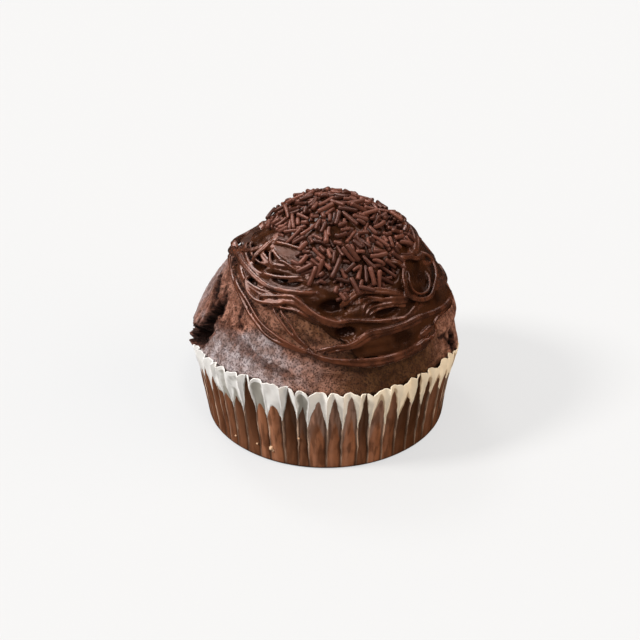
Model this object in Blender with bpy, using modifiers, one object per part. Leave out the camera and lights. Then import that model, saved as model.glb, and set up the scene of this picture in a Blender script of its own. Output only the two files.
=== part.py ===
"""Chocolate muffin: a domed cake in a pleated paper case, with poured chocolate icing and vermicelli.

Metres, +Z up. The origin is the middle of the case's flat underside.
A place on the muffin is given by its turn and its height. The turn is in degrees round the
upright axis: 0 is the front (-Y), 90 the right side (+X) and 180 the back.
"""

import math
import random

import bmesh
import bpy
from mathutils import Matrix, Vector, noise

MM = 0.001
GAP = 0.32 * MM  # clear space between neighbouring pieces

# Paper case
PLEATS = 54
BASE_RADIUS = 29.2 * MM
RIM_RADIUS = 33.3 * MM  # reached at RIM_HEIGHT
RIM_HEIGHT = 24.3 * MM
BASE_PLEAT = 0.35 * MM  # half the depth of a pleat at the base
RIM_PLEAT = 0.85 * MM  # and at the rim
PAPER = 0.4 * MM
SCALLOP = 0.9 * MM  # how far the rim dips between two pleats
# How far the cake has pressed the rim down where it spilled over it: turn, dip
RIM_DIPS = (
    (-118, 4.6 * MM),
    (-92, 6.8 * MM),
    (-62, 1.2 * MM),
    (-40, 0.2 * MM),
    (0, 0.0 * MM),
    (48, 0.2 * MM),
    (66, 1.6 * MM),
    (90, 6.0 * MM),
    (118, 4.4 * MM),
    (150, 5.2 * MM),
    (190, 3.6 * MM),
    (218, 5.0 * MM),
)

# Cake
CAKE_COLUMNS = 60
CAKE_FOOT = 0.85 * MM
WIDEST_RADIUS = 33.8 * MM
WIDEST_HEIGHT = 18.0 * MM
CAKE_TOP = 56.2 * MM
DOME_RISE = 1.6
DOME_CLOSE = 0.6
LEAN_FOOT = -0.8 * MM  # the dome's middle at its widest, along X
LEAN_TOP = 1.5 * MM  # and at its top
CAKE_LUMP = 0.35 * MM
# Craters in the crust: turn, height, half width, half height, depth
CRATERS = (
    (-78, 28.0 * MM, 3.4 * MM, 4.2 * MM, 3.2 * MM),
    (-92, 24.5 * MM, 3.6 * MM, 3.0 * MM, 2.4 * MM),
    (-84, 35.5 * MM, 1.6 * MM, 4.6 * MM, 1.3 * MM),
    (75, 22.5 * MM, 2.6 * MM, 3.2 * MM, 2.0 * MM),
    (150, 27.0 * MM, 4.0 * MM, 2.6 * MM, 1.8 * MM),
    (214, 30.0 * MM, 2.4 * MM, 3.6 * MM, 1.8 * MM),
)

# Icing
FILM_COLUMNS = 36
FILM_TWIST = 1.7  # degrees by which its columns miss those of the cake
FILM_TOP = 2.0 * MM  # thickness on the crown
FILM_EDGE = 0.9 * MM  # and at its lower edge
# The film's lower edge: turn, height
FILM_REACH = (
    (-95, 43.0 * MM),
    (-60, 44.0 * MM),
    (-32, 42.5 * MM),
    (-8, 41.0 * MM),
    (8, 36.5 * MM),
    (22, 31.5 * MM),
    (50, 31.0 * MM),
    (78, 34.5 * MM),
    (110, 39.0 * MM),
    (150, 35.0 * MM),
    (190, 40.0 * MM),
    (228, 37.0 * MM),
)
STRAND = 1.15 * MM  # radius of a poured strand
STRAND_STEP = 5.0  # degrees between two points of a strand
# The strands that lie in view: radius as a share of STRAND, how proud, and (turn, height) points
STRANDS = {
    "outer_swag": (1.1, 0.6, ((-97, 42), (-62, 40.5), (-15, 34), (18, 30.4), (56, 29.6))),
    "outer_swag_twin": (0.9, 0.6, ((-92, 43.5), (-60, 42.3), (-30, 37), (-4, 34), (24, 31.8))),
    "left_swag": (1.0, 1.0, ((-100, 43), (-66, 43.2), (-48, 40.8), (-23, 42.2))),
    "left_ridge": (1.0, 1.7, ((-95, 44), (-66, 45.6), (-40, 44), (-12, 45.5))),
    "middle_swag": (1.2, 1.2, ((-42, 41.6), (-20, 43.8), (4, 39.4), (24, 38.6), (42, 35.6))),
    "left_cross": (0.9, 0.6, ((-38, 39.8), (-16, 41.6))),
    "diagonal": (1.0, 0.7, ((-34, 41), (-24, 38.6), (-12, 35.4), (-2, 32.4))),
    "right_swag": (1.1, 1.0, ((-4, 33.6), (12, 34.8), (40, 35.6), (68, 34.4), (94, 31.5))),
    "right_band": (1.5, 1.4, ((14, 44), (32, 43.8), (54, 41))),
    "right_upper": (0.8, 1.1, ((18, 39.2), (30, 41), (50, 40))),
    "right_lower": (0.8, 1.0, ((21, 39), (40, 36.6), (64, 34.4))),
    "right_drop": (0.8, 0.6, ((95, 28.6), (72, 32.4), (60, 31.4), (54, 29.6))),
    "loop": (1.1, 2.0, ((72, 45.4), (54, 44.6), (52, 40.4), (66, 37.6), (86, 38.4), (84, 43.6))),
    "left_ledge": (1.1, 0.6, ((-124, 40), (-98, 42.4), (-76, 45.2))),
    "right_ledge": (1.8, 1.6, ((68, 45), (98, 45.4), (126, 45.2), (150, 43.4))),
}
# The strands round the back follow a rule
BACK_STRANDS = 6
BACK_FROM = 98
BACK_TO = 246
BACK_SPAN = (44, 66)
BACK_HEIGHTS = (39.5 * MM, 45.0 * MM)
BACK_SAG = (2.5 * MM, 6.0 * MM)
BACK_SEED = 11

# Vermicelli
VERMICELLI = 110
VERMICELLI_RADIUS = 0.72 * MM
VERMICELLI_LENGTH = (4.2 * MM, 6.0 * MM)
VERMICELLI_FOOT = 45.5 * MM  # the lowest height at which they lie
VERMICELLI_SEED = 8
GOLDEN_TURN = 137.508

CAKE_COLOR = (0.085, 0.042, 0.028)
ICING_COLOR = (0.035, 0.013, 0.007)
PAPER_COLOR = (0.22, 0.105, 0.06)


def clear_scene():
    for found in list(bpy.data.objects):
        bpy.data.objects.remove(found)


def material(name, color, roughness):
    made = bpy.data.materials.new(name)
    made.use_nodes = True
    shader = made.node_tree.nodes["Principled BSDF"]
    shader.inputs["Base Color"].default_value = (*color, 1)
    shader.inputs["Roughness"].default_value = roughness
    shader.inputs["Metallic"].default_value = 0
    return made


def collection(name, hidden=False):
    made = bpy.data.collections.new(name)
    made.hide_render = hidden
    bpy.context.scene.collection.children.link(made)
    return made


def mesh_object(name, bm, into, finish=None):
    """Closes a bmesh into a named object in a collection."""
    bmesh.ops.recalc_face_normals(bm, faces=bm.faces)
    mesh = bpy.data.meshes.new(name)
    bm.to_mesh(mesh)
    bm.free()
    if finish:
        mesh.materials.append(finish)
    made = bpy.data.objects.new(name, mesh)
    into.objects.link(made)
    return made


def ease(value):
    """0 to 1 with level ends."""
    value = min(max(value, 0.0), 1.0)
    return value * value * (3 - 2 * value)


def turned(turn, radius, height, lean=0.0):
    angle = math.radians(turn)
    return Vector((lean + radius * math.sin(angle), -radius * math.cos(angle), height))


def apart(turn_a, turn_b):
    """The angle between two turns, 0 to 180."""
    return abs((turn_a - turn_b + 180) % 360 - 180)


def along(points, turn):
    """A value that runs smoothly through (turn, value) points right round the muffin."""
    count = len(points)
    for index in range(count):
        start, low = points[index]
        end, high = points[(index + 1) % count]
        span = (end - start) % 360
        share = ((turn - start) % 360) / span
        if share <= 1:
            return low + (high - low) * ease(share)
    return points[0][1]


def smooth_path(points, steps):
    """A Catmull-Rom curve through two-number points, with steps points in each stretch."""
    ends = [points[0], *points, points[-1]]
    path = []
    for index in range(len(points) - 1):
        a, b, c, d = (Vector(p) for p in ends[index : index + 4])
        for step in range(steps):
            s = step / steps
            bend = (2 * a - 5 * b + 4 * c - d) * s**2 + (3 * b - a - 3 * c + d) * s**3
            path.append(0.5 * (2 * b + (c - a) * s + bend))
    path.append(Vector(points[-1]))
    return path


# ---------------------------------------------------------------- the forms that the pieces share


def wall_radius(height):
    """Middle of the paper wall, between the tops and the bottoms of its pleats."""
    return BASE_RADIUS + (RIM_RADIUS - BASE_RADIUS) * height / RIM_HEIGHT


def pleat_depth(height):
    return BASE_PLEAT + (RIM_PLEAT - BASE_PLEAT) * min(height / RIM_HEIGHT, 1)


def rim_height(turn):
    return RIM_HEIGHT - along(RIM_DIPS, turn)


def dome_radius(height):
    rise = min(max((height - WIDEST_HEIGHT) / (CAKE_TOP - WIDEST_HEIGHT), 0), 1)
    return WIDEST_RADIUS * (1 - rise**DOME_RISE) ** DOME_CLOSE


def dome_lean(height):
    rise = min(max((height - WIDEST_HEIGHT) / (CAKE_TOP - WIDEST_HEIGHT), 0), 1)
    return LEAN_FOOT + (LEAN_TOP - LEAN_FOOT) * rise


def dome_point(turn, height, proud=0.0):
    """A point of the cake's dome, or one that stands proud of it along its normal."""
    step = 0.2 * MM
    low, high = max(height - step, WIDEST_HEIGHT), min(height + step, CAKE_TOP)
    slope = (dome_radius(low) - dome_radius(high)) / (high - low)
    outward = Vector((1, slope)).normalized() * proud
    return turned(turn, dome_radius(height) + outward.x, height + outward.y, dome_lean(height))


def lump(point):
    """The slow unevenness of the crust at a point, as a distance along its normal."""
    return CAKE_LUMP * noise.noise(point / (9 * MM))


def ring_mesh(rings, close_foot=True, close_top=True):
    """A closed skin over rings of points. A ring of one point is a pole."""
    bm = bmesh.new()
    rows = [[bm.verts.new(point) for point in ring] for ring in rings]
    for low, high in zip(rows, rows[1:]):
        count = max(len(low), len(high))
        for index in range(count):
            after = (index + 1) % count
            below = [low[place % len(low)] for place in (index, after)]
            above = [high[place % len(high)] for place in (after, index)]
            bm.faces.new(dict.fromkeys(below + above))
    if close_foot and len(rows[0]) > 1:
        bm.faces.new(reversed(rows[0]))
    if close_top and len(rows[-1]) > 1:
        bm.faces.new(rows[-1])
    return bm


# ---------------------------------------------------------------- cake


def cake_rings(grow=0.0):
    """Rings up the cake: inside the case, over its rim, and up the dome."""
    turns = [360 * index / CAKE_COLUMNS for index in range(CAKE_COLUMNS)]

    def inside(height):
        slack = PAPER * 1.5 + GAP + 0.15 * MM
        return min(wall_radius(height) - pleat_depth(height) - slack, dome_radius(max(height, WIDEST_HEIGHT)))

    rings = []
    for share in (0.0, 0.5, 0.92):
        heights = [CAKE_FOOT + (rim_height(turn) - CAKE_FOOT) * share for turn in turns]
        rings.append([turned(t, inside(h) + grow, h) for t, h in zip(turns, heights)])
    lips = [rim_height(turn) + 0.75 * MM for turn in turns]
    rings.append([turned(t, inside(h) + grow, h) for t, h in zip(turns, lips)])
    for share in [index / 12 for index in range(12)]:
        ring = []
        for turn, lip in zip(turns, lips):
            start = lip + 0.9 * MM
            height = start + (CAKE_TOP - start) * math.sin(share * math.pi / 2)
            bare = dome_point(turn, height)
            ring.append(dome_point(turn, height, grow + lump(bare)))
        rings.append(ring)
    rings.append([Vector((LEAN_TOP, 0, CAKE_TOP + grow))])
    return rings


def crater_cutter(index, crater, cutters):
    """A ragged lump that bites a crater out of the crust."""
    turn, height, half_width, half_height, depth = crater
    draw = random.Random(index)
    bm = bmesh.new()
    bmesh.ops.create_icosphere(bm, subdivisions=1, radius=1)
    for vert in bm.verts:
        vert.co *= draw.uniform(0.82, 1.18)
    # the lump's own axes: across the crust, out of it, and up
    shape = Matrix.Diagonal((half_width, depth, half_height, 1))
    facing = Matrix.Rotation(math.radians(turn), 4, "Z")
    place = Matrix.Translation(dome_point(turn, height))
    bm.transform(place @ facing @ shape)
    made = mesh_object(f"crater_{index}", bm, cutters)
    made.display_type = "WIRE"
    made.hide_render = True
    return made


def make_cake(parts, cutters):
    crust = material("chocolate_cake", CAKE_COLOR, 0.8)
    cake = mesh_object("cake", ring_mesh(cake_rings()), parts, crust)
    for index, crater in enumerate(CRATERS):
        bite = cake.modifiers.new(f"crater_{index}", "BOOLEAN")
        bite.operation = "DIFFERENCE"
        bite.object = crater_cutter(index, crater, cutters)
    return cake


# ---------------------------------------------------------------- paper case


def make_case(parts):
    """The pleated cup: a folded wall on a flat base, as a sheet that is then given its thickness."""
    points = 2 * PLEATS
    shares = (0.0, 0.12, 1.0)
    rings = [[Vector((0, 0, 0))]]
    for share in shares:
        ring = []
        for index in range(points):
            turn = 360 * index / points
            ridge = index % 2 == 0
            top = rim_height(turn) - (0 if ridge else SCALLOP)
            height = top * share
            depth = pleat_depth(height)
            ring.append(turned(turn, wall_radius(height) + (depth if ridge else -depth), height))
        rings.append(ring)
    bm = ring_mesh(rings, close_foot=False, close_top=False)
    paper = material("case_paper", PAPER_COLOR, 0.45)
    case = mesh_object("paper_case", bm, parts, paper)
    thickness = case.modifiers.new("thickness", "SOLIDIFY")
    thickness.thickness = PAPER
    thickness.offset = -1
    thickness.use_even_offset = True
    return case


# ---------------------------------------------------------------- icing


def film_mesh():
    """The poured film: outer rows from its lower edge to the crown, closed by a point inside the cake."""
    turns = [FILM_TWIST + 360 * index / FILM_COLUMNS for index in range(FILM_COLUMNS)]
    rings = [[Vector((0, 0, 20 * MM))]]
    sunk = -2.0 * MM
    rings.append([dome_point(t, along(FILM_REACH, t), sunk) for t in turns])
    for share in [index / 9 for index in range(9)]:
        ring = []
        for turn in turns:
            foot = along(FILM_REACH, turn)
            height = foot + (CAKE_TOP - foot) * math.sin(share * math.pi / 2)
            thick = FILM_EDGE + (FILM_TOP - FILM_EDGE) * share
            bare = dome_point(turn, height)
            ring.append(dome_point(turn, height, GAP + thick + 1.6 * lump(bare)))
        rings.append(ring)
    rings.append([Vector((LEAN_TOP, 0, CAKE_TOP + GAP + FILM_TOP))])
    return ring_mesh(rings)


def strand_object(name, path, radius, proud, into):
    """A poured strand: a tube through (turn, height) points that thins to its ends."""
    curve = bpy.data.curves.new(name, "CURVE")
    curve.dimensions = "3D"
    curve.bevel_depth = radius
    curve.bevel_resolution = 1
    curve.use_fill_caps = True
    spline = curve.splines.new("POLY")
    spline.points.add(len(path) - 1)
    for index, (place, point) in enumerate(zip(path, spline.points)):
        end = min(index, len(path) - 1 - index)
        spread = 0.9 + 0.15 * math.sin(1.7 * index + 3 * radius / MM)
        point.radius = spread * (0.45, 0.8)[end] if end < 2 else spread
        height = min(place[1], CAKE_TOP - 1.5 * MM)
        point.co = (*dome_point(place[0], height, GAP + proud), 1)
    guide = bpy.data.objects.new(name, curve)
    into.objects.link(guide)
    bpy.context.view_layer.update()
    graph = bpy.context.evaluated_depsgraph_get()
    mesh = bpy.data.meshes.new_from_object(guide.evaluated_get(graph))
    bpy.data.objects.remove(guide)
    bm = bmesh.new()
    bm.from_mesh(mesh)
    bmesh.ops.remove_doubles(bm, verts=bm.verts, dist=0.01 * MM)
    return mesh_object(name, bm, into)


def steps_for(points):
    """How many points each stretch of a strand needs, by how far it turns."""
    spread = sum(apart(a[0], b[0]) + 4 * abs(a[1] - b[1]) for a, b in zip(points, points[1:]))
    return max(2, round(spread / STRAND_STEP / 2 / (len(points) - 1)))


def back_strands():
    """Swags round the back, which no one sees from the front, drawn by one rule."""
    draw = random.Random(BACK_SEED)
    for index in range(BACK_STRANDS):
        middle = BACK_FROM + (BACK_TO - BACK_FROM) * (index + 0.5) / BACK_STRANDS
        half = draw.uniform(*BACK_SPAN) / 2
        start, end = draw.uniform(*BACK_HEIGHTS), draw.uniform(*BACK_HEIGHTS)
        low = min(start, end) - draw.uniform(*BACK_SAG)
        skew = draw.uniform(-8, 8)
        points = (
            (middle - half, start),
            (middle - half / 2 + skew, (start + low) / 2 - 1 * MM),
            (middle + skew, low),
            (middle + half, end),
        )
        yield f"back_swag_{index}", 1.0 + 0.2 * (index % 3 - 1), 0.8, points


def add_strands(toppings):
    for name, (share, proud, points) in STRANDS.items():
        points = [(turn, height * MM) for turn, height in points]
        path = smooth_path(points, steps_for([(t, h / MM) for t, h in points]))
        strand_object(name, path, STRAND * share, proud * MM, toppings)
    for name, share, proud, points in back_strands():
        path = smooth_path(points, steps_for([(t, h / MM) for t, h in points]))
        strand_object(name, path, STRAND * share, proud * MM, toppings)


def add_vermicelli(toppings):
    """Short rods over the crown, spread by the golden angle and turned every way."""
    draw = random.Random(VERMICELLI_SEED)
    for index in range(VERMICELLI):
        share = (index + 0.5) / VERMICELLI
        height = CAKE_TOP - (CAKE_TOP - VERMICELLI_FOOT) * share**0.8
        turn = GOLDEN_TURN * index + draw.uniform(-6, 6)
        height += draw.uniform(-0.8, 0.4) * MM * share
        seat = FILM_TOP - 0.35 * MM * share + 0.3 * MM
        place = dome_point(turn, height, GAP + seat)
        outward = (dome_point(turn, height, 5 * MM) - dome_point(turn, height)).normalized()
        length = draw.uniform(*VERMICELLI_LENGTH)
        bm = bmesh.new()
        bmesh.ops.create_uvsphere(bm, u_segments=6, v_segments=3, radius=VERMICELLI_RADIUS)
        for vert in bm.verts:
            vert.co.z += math.copysign(length / 2 - VERMICELLI_RADIUS, vert.co.z)
        lie = outward.to_track_quat("Z", "Y").to_matrix().to_4x4()
        spin = Matrix.Rotation(draw.uniform(0, 2 * math.pi), 4, "Z")
        tip = Matrix.Rotation(math.radians(90 + draw.uniform(-14, 14)), 4, "Y")
        bm.transform(Matrix.Translation(place) @ lie @ spin @ tip)
        mesh_object(f"vermicelli_{index}", bm, toppings)


def apply_modifiers(made):
    bpy.context.view_layer.update()
    graph = bpy.context.evaluated_depsgraph_get()
    mesh = bpy.data.meshes.new_from_object(made.evaluated_get(graph))
    made.modifiers.clear()
    made.data = mesh


def shells(bm):
    """The separate closed skins of a mesh, as lists of faces."""
    left = set(bm.faces)
    found = []
    while left:
        stack = [left.pop()]
        shell = []
        while stack:
            face = stack.pop()
            shell.append(face)
            for edge in face.edges:
                for other in edge.link_faces:
                    if other in left:
                        left.remove(other)
                        stack.append(other)
        found.append(shell)
    return found


def keep_largest_shell(made):
    """Fills sealed hollows and drops scraps, so that one skin is left."""
    bm = bmesh.new()
    bm.from_mesh(made.data)
    groups = sorted(shells(bm), key=len)
    scraps = [face for shell in groups[:-1] for face in shell]
    bmesh.ops.delete(bm, geom=scraps, context="FACES")
    bmesh.ops.triangulate(bm, faces=bm.faces)
    bm.to_mesh(made.data)
    bm.free()


def make_icing(parts, cutters):
    """The film with strands and vermicelli fused on, cut clear of the cake."""
    gloss = material("chocolate_icing", ICING_COLOR, 0.2)
    icing = mesh_object("icing", film_mesh(), parts, gloss)
    toppings = collection("toppings", hidden=True)
    add_strands(toppings)
    add_vermicelli(toppings)
    fuse = icing.modifiers.new("fuse", "BOOLEAN")
    fuse.operation = "UNION"
    fuse.operand_type = "COLLECTION"
    fuse.collection = toppings
    apply_modifiers(icing)
    for found in list(toppings.objects):
        bpy.data.objects.remove(found)
    bpy.data.collections.remove(toppings)
    core = mesh_object("cake_core", ring_mesh(cake_rings(GAP)), cutters)
    core.display_type = "WIRE"
    core.hide_render = True
    seat = icing.modifiers.new("seat", "BOOLEAN")
    seat.operation = "DIFFERENCE"
    seat.object = core
    apply_modifiers(icing)
    keep_largest_shell(icing)
    return icing


def main():
    clear_scene()
    parts = collection("chocolate_muffin")
    cutters = collection("cutters", hidden=True)
    make_case(parts)
    make_cake(parts, cutters)
    make_icing(parts, cutters)
    for piece in parts.objects:
        piece.data.shade_smooth()
        piece.data.set_sharp_from_angle(angle=math.radians(40))


main()
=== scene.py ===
"""Looks of the chocolate muffin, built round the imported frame.

Metres, +Z up. The origin is the middle of the case's flat underside. A place on the muffin is given
by its turn and its height, as in part.py. The turn is in degrees round the upright axis: 0 is the
front (-Y), 90 the right side (+X) and 180 the back.
"""

import math
import random

import bpy
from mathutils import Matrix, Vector, kdtree, noise


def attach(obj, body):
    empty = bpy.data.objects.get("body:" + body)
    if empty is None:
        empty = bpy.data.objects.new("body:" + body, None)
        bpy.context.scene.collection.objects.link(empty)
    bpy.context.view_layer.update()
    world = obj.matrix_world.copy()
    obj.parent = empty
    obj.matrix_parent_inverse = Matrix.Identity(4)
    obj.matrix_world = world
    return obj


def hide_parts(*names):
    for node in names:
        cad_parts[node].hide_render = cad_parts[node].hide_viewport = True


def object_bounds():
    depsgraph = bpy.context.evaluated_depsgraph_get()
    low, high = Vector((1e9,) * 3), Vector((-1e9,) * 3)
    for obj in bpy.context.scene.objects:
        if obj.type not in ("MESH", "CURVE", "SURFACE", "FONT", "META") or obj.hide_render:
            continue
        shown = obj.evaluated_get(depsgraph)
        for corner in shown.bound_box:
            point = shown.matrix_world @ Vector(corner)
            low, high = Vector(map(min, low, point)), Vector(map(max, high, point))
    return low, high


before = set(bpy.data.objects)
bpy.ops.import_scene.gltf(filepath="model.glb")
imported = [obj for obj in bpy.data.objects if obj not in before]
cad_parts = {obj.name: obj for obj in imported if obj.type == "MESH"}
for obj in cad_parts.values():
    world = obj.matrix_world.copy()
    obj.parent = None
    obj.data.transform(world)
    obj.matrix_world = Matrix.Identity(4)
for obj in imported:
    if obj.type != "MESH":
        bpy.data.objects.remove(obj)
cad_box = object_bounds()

MM = 0.001


def sizes(*rows):
    """Rows of a turn and sizes in millimetres, with the sizes turned into metres."""
    return tuple((turn, *(size * MM for size in row)) for turn, *row in rows)


# ---------------------------------------------------------------- sizes that the solids share
GAP = 0.32 * MM  # clear space between neighbouring pieces

BASE_RADIUS = 29.5 * MM
RIM_RADIUS = 33.3 * MM  # reached at RIM_HEIGHT
RIM_HEIGHT = 24.3 * MM
BASE_PLEAT = 0.35 * MM  # half the depth of a pleat at the base
RIM_PLEAT = 0.85 * MM  # and at the rim
# How far the cake has pressed the rim down where it spilled over it: turn, dip
RIM_DIPS = sizes(
    (-118, 4.6), (-92, 6.8), (-68, 1.2), (-48, 0.1), (-27, -1.5), (0, 0.1), (20, 1.2), (38, 0.4),
    (58, 0.9), (90, 6.0), (118, 4.4), (150, 5.2), (190, 3.6), (218, 5.0),
)

CAKE_FOOT = 0.85 * MM
WIDEST_RADIUS = 33.8 * MM
WIDEST_HEIGHT = 18.0 * MM
CAKE_TOP = 56.2 * MM
DOME_RISE = 1.6
DOME_CLOSE = 0.6
LEAN_FOOT = -0.8 * MM  # the dome's middle at its widest, along X
LEAN_TOP = 1.5 * MM  # and at its top
CAKE_LUMP = 0.35 * MM

# The film's lower edge: turn, height
FILM_REACH = sizes(
    (-95, 42.8), (-72, 41.8), (-60, 42.6), (-44, 40.6), (-25, 40.9), (-8, 39.0), (6, 35.8), (16, 31.6),
    (32, 30.2), (50, 30.2), (60, 32.8), (84, 31.8), (110, 37.0), (150, 35.0), (190, 40.0), (212, 37.0),
    (238, 40.2),
)

# ---------------------------------------------------------------- cake, in finer detail
CAKE_COLUMNS = 640
CRUST_STEP = 0.36 * MM  # between two rows of the bare crust
CLEAR_OF_PAPER = 0.3 * MM
CRUST_IN = 0.34 * MM  # keeps the crust's grain inside the solid's outline
BARE_CRUST = 34 * MM  # its length up the dome, which the fine rows share
FINE_TO = 0.9  # the share of the dome's rise that the fine rows cover
SWELL_FROM = 2.2 * MM  # how far below the rim the cake starts to swell out of the case
SWELL_OVER = 3.0 * MM  # and over what height it does
CLEAR_FROM = 0.8 * MM  # how far below the rim the crust starts to have its full detail
CLEAR_OVER = 2.2 * MM  # and over what height it comes in
PLUG_ROWS = (0.0, 0.3, 0.6, 0.86)  # rows inside the case, as shares of the way up to the swell
CROWN_ROWS = (0.94, 0.97, 0.99)  # rows under the icing, above the fine ones
GRAIN_SIZE = 1.5 * MM
CRUST_ROUGH = (0.06, 0.18)  # height of the grain in mm, where the crumb is closed and where open
TORN_ROUGH = 0.26 * MM  # and what a tear adds
PORE_SPACING = 1.15 * MM
PORE_DEPTH = 0.4 * MM
# Craters in the crust: turn, height, half width, half height, depth
CRATERS = sizes(
    (-69, 33.0, 2.0, 2.4, 2.4),
    (-70.5, 30.4, 3.0, 2.4, 3.2),
    (-70.5, 27.6, 3.4, 2.6, 3.8),
    (-75, 24.8, 3.8, 2.6, 4.2),
    (-83, 22.2, 4.2, 2.6, 4.2),
    (-94, 20.4, 4.4, 2.2, 3.4),
    (74, 22.6, 2.0, 3.6, 2.4),
)
# Ragged cracks in the crust: half width, depth, and (turn, height in mm) points
CRACKS = (
    (2.0 * MM, 1.1 * MM, ((-94, 37), (-84, 36), (-78, 34.4), (-73, 32.4))),
    (1.7 * MM, 0.22 * MM, (
        (-73, 30), (-66, 31.2), (-56, 32.2), (-47, 31.6), (-38, 30.4), (-28, 29), (-14, 27.6),
    )),
    (0.8 * MM, 0.5 * MM, ((-52, 38), (-50, 35.5), (-46, 34))),
    (1.1 * MM, 0.6 * MM, ((-74, 38.6), (-68, 36), (-63, 33.4))),
    (0.7 * MM, 0.5 * MM, ((60, 29), (66, 27.5), (70, 25))),
    (1.4 * MM, 0.9 * MM, ((118, 33), (124, 30), (120, 27), (128, 24))),
    (1.4 * MM, 0.9 * MM, ((176, 37), (182, 33), (178, 29), (186, 25))),
    (1.3 * MM, 0.8 * MM, ((232, 35), (238, 32), (236, 28))),
)
CRACK_STEPS = 14  # between two points of a crack
# How open the crumb is, from a closed skin to torn: turn, openness
OPEN_CRUMB = (
    (-135, 0.7), (-88, 1.0), (-60, 0.75), (-30, 0.35), (10, 0.3), (45, 0.2), (90, 0.45), (150, 0.6),
    (200, 0.8),
)
# Stretches of the crust, each with the turn where it starts, the degrees over which it comes in, the
# turn where it ends and the degrees over which it fades
# SATIN_FRONT and SATIN_LEFT mark the closed skin, whose pale colour is painted sheen
SATIN_FRONT = (-92, 24, 7, 44)
MOIST_FRONT = (-14, 34, 72, 26)
MOIST_BETWEEN = (-48, 40, 14, 12)  # between the swags
# Patches of the crust: the middle's turn, half the width and the fade at its ends, in degrees
SATIN_LEFT = (-100, 19, 17)
MOIST_BEHIND = (165, 34, 24)

# ---------------------------------------------------------------- paper case, in finer detail
PAPER = 0.24 * MM
PLEAT_COLUMNS = 18  # columns in each pleat
WALL_ROWS = 44
CASE_FOOT = 0.5 * MM  # height over which the wall tucks in under itself
BASE_INSETS = (4.0 * MM, 1.6 * MM)  # how far in from its edge the flat base has a ring of points
# The pleats in view: turn of the ridge, height of its white tip and how far the rim dips there, then
# for the panel to its right the top of its brown arch, how dark it is (partly tone, partly painted shade
# of a deep fold), how grey its white is and how deep it folds. The heights and the dip are in mm.
PLEATS_IN_VIEW = (
    (-55.1, 16.7, 0.4, 16.2, 0.3, 0.3, 0.8),
    (-51.6, 14.6, 0.2, 16.4, 0.35, 0.85, 0.7),
    (-45.9, 12.8, 0.5, 17.2, 0.75, 0.6, 0.7),
    (-39.1, 13.4, -0.1, 26.0, 0.9, 0.4, 1.0),
    (-31.6, 14.8, 1.5, 18.3, 0.35, 1.0, 0.5),
    (-26.4, 14.2, 0.1, 19.0, 0.0, 0.15, 0.2),
    (-18.8, 14.3, 0.2, 26.5, 0.95, 0.4, 1.0),
    (-12.7, 15.6, 1.3, 19.9, 0.85, 1.0, 0.5),
    (-7.5, 12.8, 0.9, 21.6, 0.1, 0.1, 0.9),
    (0.4, 12.4, 1.0, 22.3, 0.55, 0.1, 0.9),
    (7.0, 12.3, 0.2, 22.8, 0.2, 0.2, 0.8),
    (14.2, 12.4, 0.3, 25.2, 1.0, 0.4, 1.0),
    (19.6, 12.7, 0.7, 20.6, 0.3, 0.5, 0.6),
    (26.8, 11.6, 0.2, 21.8, 0.6, 0.4, 0.9),
    (33.4, 12.2, 0.5, 19.0, 0.92, 0.2, 0.7),
    (40.4, 15.0, 0.2, 24.6, 1.0, 0.3, 1.0),
    (46.9, 13.2, 0.8, 20.3, 0.8, 0.3, 0.8),
    (52.3, 15.0, 0.3, 18.6, 0.4, 0.2, 0.6),
    (62.0, 13.5, 0.5, 17.0, 0.35, 0.2, 0.8),
)
# Numbers kept at each point of the paper for its material, and what the base has
CASE_MARKS = {
    "white_edge": -9.0,
    "panel_shade_and_tone": 0.5,
    "ridge": 0.0,
    "crease": 0.0,
    "lit_side": 0.0,
    "shade": 0.0,
    "level": 0.0,
}
PLEATS_BEHIND = 37  # the rest of the way round
PLEAT_SEED = 5
# Crumbs stuck low on the paper: turn, height, radius
PAPER_CRUMBS = sizes(
    (-25.9, 4.6, 0.62),
    (-25.0, 4.0, 0.45),
    (-12.2, 9.5, 0.32),
    (-33.6, 4.4, 0.26),
    (-47.3, 3.4, 0.28),
)

# ---------------------------------------------------------------- icing, in finer detail
FILM_COLUMNS = 220
FILM_ROWS = 64
FILM_CROWN = 0.8 * MM  # thickness on the crown
FILM_EDGE = 0.9 * MM  # and at its lower edge
FILM_SUNK = 0.6 * MM  # how far its inner side lies under the crust
VOXEL = 0.215 * MM
# Hollows that the strands bridge, and one swelling: turn, height, half width, half height, depth
HOLLOWS = sizes(
    (-132, 48.0, 11.0, 3.0, 1.8),
    (-118, 43.9, 17.0, 3.0, 3.6),
    (-75, 46.2, 2.8, 1.2, 1.6),
    (-57, 46.8, 2.6, 1.6, 1.6),
    (-53, 42.8, 1.9, 1.1, 1.2),
    (-33, 45.6, 4.6, 0.8, 1.2),
    (2, 41.8, 3.4, 1.5, 1.8),
    (9, 37.0, 2.6, 1.2, 1.6),
    (33, 39.4, 3.4, 0.9, 1.2),
    (32, 41.9, 3.8, 0.5, 0.8),
    (43, 45.8, 3.2, 1.6, 1.6),
    (65, 42.3, 1.9, 1.6, 0.35),
    (104, 48.0, 4.0, 1.6, 1.6),
    (134, 50.2, 12.0, 3.0, 4.0),
    (88, 29.9, 17.0, 3.0, -1.5),
)
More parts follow.
